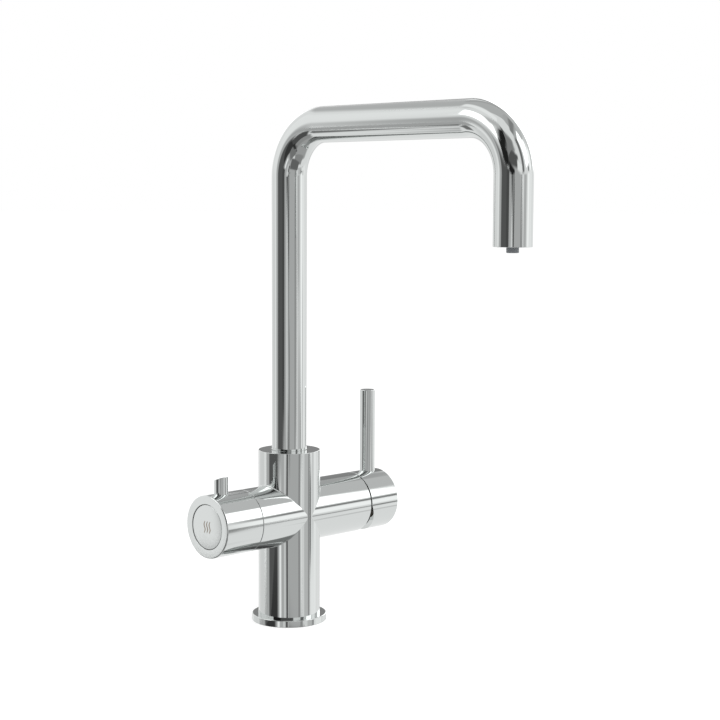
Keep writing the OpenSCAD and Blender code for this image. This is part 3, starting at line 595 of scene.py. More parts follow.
# What each board is, then its azimuth, elevation, width, height, edge, level and turn
BOARDS = (
    # Grey walls of the room, overhead and underfoot
    ("wall_behind_camera", -5, -10, 100, 60, 12, 0.55),
    ("wall_right", 70, -14, 30, 20, 6, 0.66),
    ("wall_right_high", 66, 0, 18, 6, 3, 0.6),
    ("ground_right", 46, -50, 50, 30, 8, 0.33),
    ("ceiling", 150, 82, 90, 50, 16, 0.6),
    ("ceiling_back", 175, 52, 40, 14, 8, 0.5),
    ("ceiling_right", 80, 65, 110, 24, 10, 0.55),
    ("ground", -10, -82, 90, 60, 16, 0.46),
    ("wall_back_top", 128, 45, 56, 20, 5, 0.68),
    ("wall_back_right", 124, 22, 18, 40, 14, 0.8),
    ("panel_back_right", 107, 15, 16, 20, 6, 1.4),
    ("wall_back", 178, -2, 50, 30, 12, 0.75),
    # Pale panels and white softboxes
    ("panel_over_camera", 2, 60, 46, 50, 10, 1),
    ("panel_upper_left", -70, 66, 60, 16, 8, 1.15, 8),
    ("panel_left", -108, 14, 34, 50, 12, 1.1),
    ("box_left", -73, 29, 30, 23, 3, 2.5, 4),
    ("box_right", 78, 31, 22, 39, 3, 2.5, 14),
    ("strip_right", 94, 25, 6, 24, 3, 2, -14),
    ("box_back", 156, 21, 36, 34, 5, 2.5),
    ("box_back_left", -166, 14, 18, 20, 6, 1.5),
    # Dark flags over the camera
    ("flag_grey", -12, 33, 40, 30, 12, 0.29),
    ("flag_grey_low", -4, 19, 54, 18, 6, 0.12),
    ("flag_high", -50, 46, 30, 12, 10, 0.65, 30),
    ("flag_leaning", -37, 31, 18, 54, 10, 0.02, -34),
    ("flag_black", -44, 15, 28, 14, 4, 0.02),
    ("flag_bar", -14, 6, 30, 9, 4, 0.02, -12),
    ("panel_small", 31, 11, 26, 13, 6, 1.1, -12),
    ("flag_gap", 50, 26, 13, 44, 6, 0.2, 9),
    ("flag_ceiling", 77, 62, 42, 10, 5, 0.3),
    # Dark flags low and on the left
    ("flag_left_soft", -86, -8, 12, 30, 14, 0.5),
    ("panel_low_left", -122, -10, 36, 22, 10, 0.88),
    ("flag_left", -60, -6, 40, 32, 12, 0.12),
    ("flag_ground", -70, -54, 56, 20, 8, 0.36),
    ("flag_low_front", -57, -24, 30, 24, 6, 0.05),
    ("flag_low_left", -72, -35, 40, 26, 6, 0.1, 10),
    ("flag_foot", -30, -45, 36, 26, 6, 0.24),
    ("flag_floor_line", -46, -46, 6, 48, 4, 0.04, 45),
    ("flag_front", -37, -1, 16, 14, 3, 0.09),
    # Strips beside the camera, which draw the lines down the column and along the arms
    ("strip_a", -30, -18, 7, 16, 3, 1.15),
    ("strip_b", -13, -11, 6, 22, 3, 0.8),
    ("strip_b_high", -12, -4, 7, 8, 3, 0.95),
    ("line_a_high", -3, -1, 8, 8, 3, 0.4),
    ("line_a", -4.5, -14, 5, 14, 2.5, 0.08),
    ("line_a_mid", 4, -6.5, 5, 5, 2, 0.3),
    ("line_a_top", -1, 0, 5, 3, 2, 0.08),
    ("flag_low_right", 28, -31, 52, 28, 6, 0.17),
    ("line_b", 41, -8, 6, 20, 3, 0.34),
    ("line_b_high", 47, -4, 9, 9, 3, 0.42),
    ("strip_c", 57, -10.5, 9, 16, 4, 0.9),
    ("line_c", 82, -12, 7, 10, 2.5, 0.38),
    ("strip_d", 108, -8, 30, 26, 8, 1.12),
    ("line_d", 102, -7, 8, 10, 4, 0.75),
    ("panel_rails", 90, -1, 12, 10, 3, 1.3),
    ("rail_high", 89.5, 8, 9, 4.5, 3, 0.26),
    ("rail_low", 90, -11, 8, 3.6, 1.6, 0.34),
    ("rail_floor", 94.5, -22.5, 6, 3, 1.6, 0.75),
    # Flags behind the tap, and what the knob's side shows
    ("flag_back", 162, 41, 30, 9, 5, 0.5, -36),
    ("flag_back_side", 177, 22, 30, 9, 4, 0.3, -66),
    ("flag_back_low", -178, 11, 8, 16, 4, 0.29),
    ("flag_back_left", -162, 38, 34, 12, 8, 0.6, 40),
    ("flag_patch", -95, -20, 14, 12, 5, 0.5),
    ("flag_spot", -111, -30, 20, 10, 4, 0.22, 6),
    ("panel_knob", -96.5, -10.5, 6, 5, 2.6, 1.05),
)


@dataclass
class Studio:
    """The room: a white background, boards and lamps, a pale floor and the camera.

    The metal shows the white background too, and the boards that stand in front of it.
    """

    target: Vector = Vector((0.0, 0.0, 225 * MM))   # what the camera's distance is measured from
    azimuth: float = -44.91
    pitch: float = 5.698
    roll: float = 0.276
    lens: float = 80.26
    distance: float = 1152.2 * MM
    right_of_target: float = -50.78 * MM            # the target is this far from the view's axis
    over_target: float = 34.96 * MM
    board_distance: float = 24.0
    board_gap: float = 0.1                          # each board stands this much nearer than the one before
    clip: tuple[float, float] = (0.05, 200.0)
    ambient: float = 0.75                           # the world's level on what isn't metal
    floor_size: float = 60.0
    floor_drop: float = 0.1 * MM
    floor_colour: str = "#d8d8d8"
    floor_lift: float = 0.52                        # brings the lit floor up to white for the camera
    boards: tuple[Card, ...] = tuple(Card(*row) for row in BOARDS)
    lamps: tuple[Lamp, ...] = (
        Lamp("key", (-1.4, -1.6, 1.9), 1.2, 22.0),
        Lamp("fill", (1.8, -0.6, 1.2), 1.4, 8.0),
    )

    def build(self) -> None:
        """Make the camera, world, floor, boards and lamps."""
        self.build_camera()
        self.build_world()
        self.build_floor()
        for step, board in enumerate(self.boards):
            board.build(self.board_distance - self.board_gap * step, self.azimuth)
        for lamp in self.lamps:
            lamp.build(self.target)
        bpy.context.scene.view_settings.view_transform = "Standard"
        log.info("studio: %d boards, %d lamps", len(self.boards), len(self.lamps))

    def build_camera(self) -> None:
        """Stand the camera where the photograph was taken from."""
        axes = axes_at(self.azimuth, self.pitch, self.roll)
        right, up, back = axes.col
        place = self.target + back * self.distance - right * self.right_of_target - up * self.over_target
        data = bpy.data.cameras.new("camera")
        data.lens = self.lens
        data.clip_start, data.clip_end = self.clip
        camera = bpy.data.objects.new("camera", data)
        camera.matrix_world = Matrix.Translation(place) @ axes.to_4x4()
        bpy.context.scene.collection.objects.link(camera)
        bpy.context.scene.camera = camera

    def build_world(self) -> None:
        """White to the camera and in the metal, and a plain level for everything else."""
        world = bpy.data.worlds.new("studio")
        bpy.context.scene.world = world
        tree = bare_tree(world)
        path = add_node(tree, "LightPath").outputs
        either = {"operation": "MAXIMUM"}
        seen = add_node(tree, "Math", either, {0: path["Is Camera Ray"], 1: path["Is Glossy Ray"]})
        seen = add_node(tree, "Math", either, {0: seen.outputs[0], 1: path["Is Transmission Ray"]})
        plain = add_node(tree, "Background", {"Color": WHITE, "Strength": self.ambient})
        white = add_node(tree, "Background", {"Color": WHITE, "Strength": 1.0})
        both = {0: seen.outputs[0], 1: plain.outputs[0], 2: white.outputs[0]}
        mix = add_node(tree, "MixShader", links=both)
        add_node(tree, "OutputWorld", links={"Surface": mix.outputs[0]})

    def build_floor(self) -> None:
        """A pale floor that runs into the white background and keeps a soft shadow."""
        floor = sheet("floor", [self.floor_size / 2] * 2, self.floor_drop)
        paint = bpy.data.materials.new("pale_floor")
        tree = bare_tree(paint)
        path = add_node(tree, "LightPath").outputs
        matt = add_node(tree, "BsdfDiffuse", {"Color": linear(self.floor_colour)})
        times = {"operation": "MULTIPLY", 1: self.floor_lift}
        lift = add_node(tree, "Math", times, {0: path["Is Camera Ray"]})
        glow = add_node(tree, "Emission", links={"Strength": lift.outputs[0]})
        both = add_node(tree, "AddShader", links={0: matt.outputs[0], 1: glow.outputs[0]})
        add_node(tree, "OutputMaterial", links={"Surface": both.outputs[0]})
        floor.data.materials.append(paint)
        floor.visible_glossy = False


# ---- Shaping ----


def only(kind: type, parts: Sequence) -> list:
    """Pick the parts of one kind out of what an operator made."""
    return [p for p in parts if isinstance(p, kind)]


def quarter_turn(steps: int) -> list[float]:
    """List the angles of a quarter turn in even steps."""
    return [pi / 2 * i / steps for i in range(steps + 1)]


@dataclass(frozen=True)
class Corner:
    """A corner of a turned piece's outline.

    Args:
        radius: Its distance from the axis.
        height: Its place along the axis.
        rounded: How far from it the edge's rounding starts, or 0 for a sharp one.
    """

    radius: float
    height: float
    rounded: float = 0.0


def turned(outline: Sequence[Corner], sides: int = SIDES) -> Mesh:
    """Turn an outline about Z into a closed shape.

    Args:
        outline: Its corners in order. It starts and ends on the axis, or runs round a ring's section.
        sides: Facets round the piece.

    Returns:
        The shape.
    """
    bm = bmesh.new()
    verts = [bm.verts.new((c.radius, 0.0, c.height)) for c in outline]
    for pair in zip(verts, verts[1:]):
        bm.edges.new(pair)
    if outline[0].radius > 0:
        bm.edges.new((verts[-1], verts[0]))
    for vert, corner in zip(verts, outline):
        if corner.rounded:
            rounded(bm, [vert], corner.rounded, affect="VERTICES")
    bmesh.ops.spin(
        bm, geom=bm.verts[:] + bm.edges[:], cent=(0, 0, 0), axis=(0, 0, 1), angle=2 * pi, steps=sides,
        use_merge=True, use_duplicate=False,
    )
    return sealed(bm)


def rounded(bm: Mesh, geom: Sequence, offset: float, segments: int = 4, affect: str = "EDGES") -> None:
    """Round corners or edges off.

    Args:
        bm: The shape.
        geom: The vertices or edges.
        offset: How far from them the rounding starts.
        segments: Facets across it.
        affect: "VERTICES" or "EDGES".
    """
    bmesh.ops.bevel(bm, geom=geom, offset=offset, segments=segments, profile=0.5, affect=affect, material=-1)


def sealed(bm: Mesh) -> Mesh:
    """Merge what lies in one place and turn every face outwards."""
    bmesh.ops.remove_doubles(bm, verts=bm.verts, dist=SAME)
    bmesh.ops.recalc_face_normals(bm, faces=bm.faces)
    return bm


def rod(radius: float, low: float, high: float, at: tuple[float, float] = (0.0, 0.0)) -> Mesh:
    """Make a plain rod along Z, for a pin or for the hole that it leaves.

    Args:
        radius: Its radius.
        low: Height of its foot.
        high: Height of its top.
        at: Its axis, along X and Y.

    Returns:
        The shape.
    """
    bm = bmesh.new()
    bmesh.ops.create_cone(
        bm, cap_ends=True, segments=FINE_SIDES, radius1=radius, radius2=radius, depth=high - low,
        matrix=Matrix.Translation((*at, (low + high) / 2)),
    )
    return bm


def plug(radius: float, low: float, high: float, edge: float = 0.0) -> Mesh:
    """Turn a solid round about Z, as fine as the arms.

    Args:
        radius: Its radius.
        low: Height of its foot.
        high: Height of its top.
        edge: Rounding of its top.

    Returns:
        The shape.
    """
    return turned((Corner(0, low), Corner(radius, low), Corner(radius, high, edge), Corner(0, high)))


def placed(bm: Mesh, place: Matrix) -> Mesh:
    """Move a shape to its place and return it."""
    bm.transform(place)
    return bm


def combined(base: Mesh, other: Mesh, join: Join) -> Mesh:
    """Put two closed shapes together, and use both up.

    Args:
        base: The shape that is added to or cut.
        other: The shape that is added or taken away.
        join: Which of the two is done.

    Returns:
        The new shape.
    """
    pair = [shown("blank", bm) for bm in (base, other)]
    step = pair[0].modifiers.new("join", "BOOLEAN")
    step.object, step.operation, step.solver = pair[1], join.value, "EXACT"
    bm = bmesh.new()
    bm.from_object(pair[0], bpy.context.evaluated_depsgraph_get())
    for thing in pair:
        mesh = thing.data
        bpy.data.objects.remove(thing)
        bpy.data.meshes.remove(mesh)
    return bm


def sliced(bm: Mesh, place: Sequence[float], out: Sequence[float]) -> Mesh:
    """Cut a shape off at a plane and close it there.

    Args:
        bm: The shape.
        place: A point of the plane.
        out: The plane's normal, towards what goes.

    Returns:
        What is left.
    """
    everything = bm.verts[:] + bm.edges[:] + bm.faces[:]
    cut = bmesh.ops.bisect_plane(
        bm, geom=everything, dist=SAME, plane_co=place, plane_no=out, clear_outer=True
    )
    bmesh.ops.holes_fill(bm, edges=[e for e in only(Edge, cut["geom_cut"]) if e.is_boundary])
    return sealed(bm)


def grown(bm: Mesh, loop: list[Edge], place: Callable[[Vector], Vector]) -> list[Edge]:
    """Extrude an open loop of edges.

    Args:
        bm: The shape.
        loop: The loop's edges.
        place: Gives the new place of a vertex from its old one.

    Returns:
        The new loop's edges.
    """
    made = bmesh.ops.extrude_edge_only(bm, edges=loop)["geom"]
    for vert in only(Vert, made):
        vert.co = place(vert.co)
    return [e for e in only(Edge, made) if e.is_boundary]


def finished(name: str, bm: Mesh, body: Body, finishes: Sequence[Finish], nodes: Sequence[str] = ()) -> Thing:
    """Make a piece from a shape in millimetres, dress it and let it ride.

    Args:
        name: The piece's name.
        bm: Its shape, which is used up.
        body: The body that it moves with.
        finishes: Its finishes, by the material number of its faces.
        nodes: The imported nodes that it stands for.

    Returns:
        The piece's object.
    """
    bm.transform(Matrix.Scale(MM, 4))
    piece = shown(name, bm)
    mesh = piece.data
    mesh.shade_smooth()
    mesh.set_sharp_from_angle(angle=radians(SHARP_DEG))
    for finish in finishes:
        mesh.materials.append(finish.material())
    even = piece.modifiers.new("even_shading", "WEIGHTED_NORMAL")
    even.mode, even.keep_sharp = "FACE_AREA_WITH_ANGLE", True
    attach(piece, body.value)
    if nodes:
        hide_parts(*nodes)
    log.info("%s: %d faces, on %s", name, len(mesh.polygons), body.value)
    return piece


# ---- The tap, in millimetres ----

ARM_Z = 78.5         # the arms' axis over the worktop
ARM_R = 22.2         # the arms, the cap and the knob are flush
CREST = ARM_Z + ARM_R
SADDLE_R = ARM_R + 0.02    # the foot of a rod that stands on the cap or the knob
RIM = 0.3            # rounding of the inner edges
EDGE = 0.5           # rounding of the outer edges
PLAY = 0.05          # room round a stub in its hole
OVER = 1.0           # how far a cutter or a stub runs past the face that it goes through
ON_RIGHT = Matrix.Translation((0, 0, ARM_Z)) @ Matrix.Rotation(pi / 2, 4, "Y")    # +Z to the mixer arm
ON_LEFT = Matrix.Translation((0, 0, ARM_Z)) @ Matrix.Rotation(-pi / 2, 4, "Y")    # +Z to the boiling arm
CHROME = FINISHES[Slot.CHROME]
BRASS = FINISHES[Slot.BRASS]


@dataclass(frozen=True)
class Base:
    """The flange on the worktop, with the recess that its seal sits in."""

    radius: float = 27.0
    thickness: float = 5.0
    inner: float = 17.35
    recess: tuple[float, float] = (20.15, 24.15)
    recess_depth: float = 2.0
    recess_rim: float = 0.15

    def build(self) -> None:
        """Turn the flange from its section."""
        near, far = self.recess
        outline = (
            Corner(self.inner, 0), Corner(near, 0, self.recess_rim), Corner(near, self.recess_depth),
            Corner(far, self.recess_depth), Corner(far, 0, self.recess_rim), Corner(self.radius, 0, RIM),
            Corner(self.radius, self.thickness, EDGE), Corner(self.inner, self.thickness),
        )
        finished("flange", turned(outline), Body.FIXED, [CHROME], ["base_flange"])


@dataclass(frozen=True)
class Crossing:
    """How an arm meets the column: a small ball rolled along both leaves their fillet.

    Args:
        column: The column's radius.
        arm: The arm's radius.
        ball: The ball's radius, which is the fillet's.
        side: 1 for the arm on +X and -1 for the one on -X.
    """

    column: float
    arm: float
    ball: float
    side: int

    def centre(self, turn: float) -> Vector:
        """Place the ball's centre at an angle round the arm."""
        out, across = self.column + self.ball, (self.arm + self.ball) * cos(turn)
        up = (self.arm + self.ball) * sin(turn)
        return Vector((self.side * sqrt(out**2 - across**2), across, ARM_Z + up))

    def turn_at(self, place: Vector) -> float:
        """Give the angle round the arm of a point on the crease's column side."""
        return atan2(place.z - ARM_Z, place.y * (self.column + self.ball) / self.column)

    def at(self, turn: float, share: float) -> Vector:
        """Give a point of the fillet.

        Args:
            turn: Angle round the arm.
            share: 0 where the fillet leaves the column, up to 1 where it meets the arm.

        Returns:
            The point.
        """
        centre = self.centre(turn)
        shrink = self.ball / (self.column + self.ball)
        start = Vector((-centre.x * shrink, -centre.y * shrink, 0.0))
        end = Vector((0.0, -cos(turn), -sin(turn))) * self.ball
        return centre + Quaternion(start.cross(end), start.angle(end) * share) @ start


@dataclass(frozen=True)
class Casting:
    """The body: a column on its foot with an arm on each side, in one casting.

    The creases between column and arms are filleted, and the bores, pockets and sockets are open.
    """

    radius: float = 22.3
    top: float = 125.0
    foot: float = 17.3
    foot_top: float = 5.0
    fillet: float = 0.8
    quarter: int = 48                # stations round a quarter of an arm
    strip: int = 10                  # stations between the arms, at the front and at the back
    fillet_steps: int = 5
    rim_steps: int = 3
    edge_steps: int = 4
    bore: float = 12.8
    bore_floor: float = 90.0
    bore_lip: float = 0.12
    top_edge: float = 0.3
    socket: float = 4.3
    socket_floor: float = 72.0
    screw_hole: float = 2.55
    screw_z: float = 100.5
    screw_drill: float = 30.0
    widest_pocket: float = 19.6
    mixer_arm: tuple[tuple[float, float], ...] = ((62.6, 19.25), (53.6, 19.25), (53.6, 17.75), (28.0, 17.75))
    boiling_arm: tuple[tuple[float, float], ...] = ((44.0, 10.0), (20.0, 10.0), (20.0, 8.0), (18.0, 8.0))
    sockets: tuple[tuple[float, float, float, float], ...] = (
        (8.0, -8.0, 4.5, 12.0), (8.0, 8.0, 4.5, 12.0), (-8.0, 7.5, 4.5, 12.0), (-8.0, -7.5, 3.4, 16.0),
    )

    def build(self) -> None:
        """Build the skin, cut the sockets and the screw's hole, and leave the insides bare brass."""
        bm = bmesh.new()
        self.build_column(bm)
        bmesh.ops.remove_doubles(bm, verts=bm.verts, dist=SAME)
        for side, pocket in ((1, self.mixer_arm), (-1, self.boiling_arm)):
            self.build_arm(bm, side, pocket)
        bm = sealed(bm)
        for x, y, radius, depth in self.sockets:
            bm = combined(bm, rod(radius, -OVER, depth, (x, y)), Join.CUT)
        backwards = Matrix.Translation((0, 0, self.screw_z)) @ Matrix.Rotation(-pi / 2, 4, "X")
        bm = combined(bm, placed(rod(self.screw_hole, 0.0, self.screw_drill), backwards), Join.CUT)
        for face in bm.faces:
            face.material_index = int(self.is_inside(face.calc_center_median()))
        finished("body", bm, Body.FIXED, [CHROME, BRASS], ["body_casting"])

    def azimuths(self) -> list[float]:
        """List the stations round the column, which meet those round the arms."""
        reach = (ARM_R + self.fillet) / (self.radius + self.fillet)
        half = [asin(reach * cos(pi * i / (2 * self.quarter))) for i in range(2 * self.quarter, -1, -1)]
        strip = [half[-1] + (pi - 2 * half[-1]) * i / self.strip for i in range(1, self.strip)]
        return half + strip + [pi + a for a in half + strip]

    def crease_height(self, place: Vector) -> float:
        """Give how far the crease stands off the arms' axis at a place on the column."""
        across = abs(place.y) * (self.radius + self.fillet) / self.radius
        slack = 1e-5       # takes up rounding, so that a crease's two halves meet at the arm's sides
        return sqrt(max(0.0, (ARM_R + self.fillet) ** 2 - across**2 - slack))

    def build_column(self, bm: Mesh) -> None:
        """Build the column up to the creases from below, and down to them from the top."""
        def ring(radius: float, height: float) -> Callable[[Vector], Vector]:
            """Give a step that puts a station's vertex at a radius and a height."""
            return lambda v: Vector((*(v.xy.normalized() * radius), height))

        stations = self.azimuths()
        below = [ring(self.foot, self.foot_top), ring(self.radius, self.foot_top)]
        below.append(lambda v: Vector((v.x, v.y, ARM_Z - self.crease_height(v))))
        lip, edge = self.bore_lip, self.top_edge
        above = [ring(self.socket, self.bore_floor), ring(self.bore, self.bore_floor)]
        above += [ring(self.bore, self.top - lip), ring(self.bore + lip, self.top)]
        for a in quarter_turn(self.edge_steps):
            above.append(ring(self.radius - edge * (1 - sin(a)), self.top - edge * (1 - cos(a))))
        above.append(lambda v: Vector((v.x, v.y, ARM_Z + self.crease_height(v))))
        for radius, height, steps in ((self.foot, 0.0, below), (self.socket, self.socket_floor, above)):
            disc = bmesh.ops.create_circle(bm, cap_ends=True, segments=len(stations), radius=1.0)["verts"]
            for vert, azimuth in zip(disc, stations):
                vert.co = Vector((radius * cos(azimuth), radius * sin(azimuth), height))
            loop = list({e for v in disc for e in v.link_edges})
            for step in steps:
                loop = grown(bm, loop, step)

    def build_arm(self, bm: Mesh, side: int, pocket: Sequence[tuple[float, float]]) -> None:
        """Grow an arm out of the hole that the column leaves for it, and its pocket back in.

        Args:
            bm: The body's shape so far.
            side: 1 for the arm on +X and -1 for the one on -X.
            pocket: The pocket's outline from the arm's end inwards, as distances out and radii.
        """
        crossing = Crossing(self.radius, ARM_R, self.fillet, side)
        loop = [e for e in bm.edges if e.is_boundary and all(side * v.co.x > 0 for v in e.verts)]
        turns = {tuple(v.co): crossing.turn_at(v.co) for e in loop for v in e.verts}
        for step in range(self.fillet_steps + 1):
            spots = {old: crossing.at(turn, step / self.fillet_steps) for old, turn in turns.items()}
            if step:
                loop = grown(bm, loop, lambda v: spots[tuple(v)])
            else:
                for vert in {v for e in loop for v in e.verts}:
                    vert.co = spots[tuple(vert.co)]
            turns = {tuple(spots[old]): turn for old, turn in turns.items()}
        end = pocket[0][0]
        rim = [(end - RIM * (1 - sin(a)), ARM_R - RIM * (1 - cos(a))) for a in quarter_turn(self.rim_steps)]
        for out, radius in (*rim, *pocket):
            def ring(v: Vector, out: float = out, radius: float = radius) -> Vector:
                """Put a vertex at a distance out and a radius, at its own angle round the arm."""
                turn = atan2(v.z - ARM_Z, v.y)
                return Vector((side * out, radius * cos(turn), ARM_Z + radius * sin(turn)))

            loop = grown(bm, loop, ring)
        bmesh.ops.contextual_create(bm, geom=loop)

    def is_inside(self, place: Vector) -> bool:
        """Tell whether a face's middle is in a bore, a pocket or a socket."""
        near = 0.05                  # a face this close to an open end is still outside
        if hypot(place.x, place.y) < self.foot - OVER:
            return near < place.z < self.top - RIM
        ends = near - self.boiling_arm[0][0], self.mixer_arm[0][0] - near
        in_arm = ends[0] < place.x < ends[1] and abs(place.x) > self.radius
        return in_arm and hypot(place.y, place.z - ARM_Z) < self.widest_pocket


@dataclass(frozen=True)
class Spout:
    """The swivel spout: one tube up, over and down, with an even wall."""

    radius: float = 12.5
    bore: float = 11.0
    foot: float = 117.0
    bend: float = 36.0
    bend_z: float = 320.8
    reach: float = 206.6
    outlet: float = 276.0
    bend_steps: int = 60
    rim_steps: int = 3

    def build(self) -> None:
        """Extrude the tube's section along its straights and spin it round its bends."""
        bm = bmesh.new()
        edges = []
        at = Matrix.Translation((0, 0, self.foot))
        for radius in (self.radius, self.bore):
            circle = bmesh.ops.create_circle(bm, segments=SIDES, radius=radius, matrix=at)["verts"]
            edges += {e for v in circle for e in v.link_edges}
        end = bmesh.ops.bridge_loops(bm, edges=edges)["faces"]
        stretches = (
            (Vector((0, 0, self.bend_z - self.foot)), Vector((0, -self.bend, self.bend_z))),
            (Vector((0, 2 * self.bend - self.reach, 0)), Vector((0, self.bend - self.reach, self.bend_z))),
            (Vector((0, 0, self.outlet - self.bend_z)), None),
        )
        for way, centre in stretches:
            made = bmesh.ops.extrude_face_region(bm, geom=end)["geom"]
            bmesh.ops.translate(bm, vec=way, verts=only(Vert, made))
            end = only(Face, made)
            if centre is None:
                break
            made = bmesh.ops.spin(
                bm, geom=end, cent=centre, axis=(1, 0, 0), angle=pi / 2, steps=self.bend_steps,
                use_duplicate=False,
            )["geom_last"]
            end = only(Face, made)
        bm = sealed(bm)
        lips = [e for e in bm.edges if e.calc_face_angle(0) > radians(RIM_DEG)]
        rounded(bm, lips, RIM, self.rim_steps)
        finished("spout", bm, Body.SPOUT, [CHROME], ["spout_tube"])


@dataclass(frozen=True)
class MixerHandle:
    """The mixer's cap and its lever.

    The cap's lower rim is cut back, so that it comes up flush with the arm at full tilt.
    """

    start: float = 63.6
    end: float = 91.0
    bore: float = 19.2
    end_wall: float = 4.0
    hub: float = 7.5
    hub_start: float = 70.5
    pillar: float = 6.5
    tilt: float = 20.0
    lever_x: float = 80.1
    lever_radius: float = 5.65
    lever_top: float = 162.2
    saddle: tuple[float, float] = (60.0, 100.0)              # where its hollow foot's cutter runs
    stub: float = 4.0
    stub_z: float = 88.5
    stub_gap: float = 0.2                                    # the stub ends this much over its hole's bottom
    grub: float = 2.5
    stem: tuple[float, float, float] = (13.7, 8.1, 7.1)      # the room for the stem: long, wide, high
    stem_gap: float = 0.2                                    # it starts this much before the hub
    corner: float = 1.0                                      # rounding between bore and end wall

    def build(self) -> None:
        """Build the cap and the lever."""
        self.build_cap()
        self.build_lever()

    def build_cap(self) -> None:
        """Turn the cap, cut its lower rim back, and give it its hub, pillar and sockets."""
        floor = self.end - self.end_wall
        outline = (
            Corner(0, self.hub_start), Corner(self.hub, self.hub_start, RIM), Corner(self.hub, floor),
            Corner(self.bore, floor, self.corner), Corner(self.bore, self.start, RIM),
            Corner(ARM_R, self.start, RIM), Corner(ARM_R, self.end, EDGE), Corner(0, self.end),
        )
        lean = radians(self.tilt)
        bm = sliced(placed(turned(outline), ON_RIGHT), (self.start, 0, ARM_Z), (-cos(lean), 0, -sin(lean)))
        at = (self.lever_x, 0)
        bm = combined(bm, rod(self.pillar, ARM_Z, ARM_Z + self.bore + OVER, at), Join.ADD)
        bm = combined(bm, rod(self.stub + PLAY, self.stub_z, CREST + OVER, at), Join.CUT)
        bm = combined(bm, rod(self.grub, ARM_Z, self.stub_z + OVER, at), Join.CUT)
        room = bmesh.new()
        middle = (self.hub_start + self.stem[0] / 2 - self.stem_gap, 0, ARM_Z)
        size = Matrix.Diagonal((*self.stem, 1))
        bmesh.ops.create_cube(room, size=1.0, matrix=Matrix.Translation(middle) @ size)
        bm = combined(bm, room, Join.CUT)
        finished("mixer_cap_shell", bm, Body.HANDLE, [CHROME], ["mixer_cap"])

    def build_lever(self) -> None:
        """Turn the rod, hollow its foot to sit on the cap, and add its stub."""
        blank = plug(self.lever_radius, ARM_Z, self.lever_top, EDGE)
        bm = placed(blank, Matrix.Translation((self.lever_x, 0, 0)))
        bm = combined(bm, placed(plug(SADDLE_R, *self.saddle), ON_RIGHT), Join.CUT)
        stub = rod(self.stub, self.stub_z + self.stub_gap, CREST + OVER, (self.lever_x, 0))
        bm = combined(bm, stub, Join.ADD)
        finished("lever", bm, Body.HANDLE, [CHROME], ["mixer_lever"])


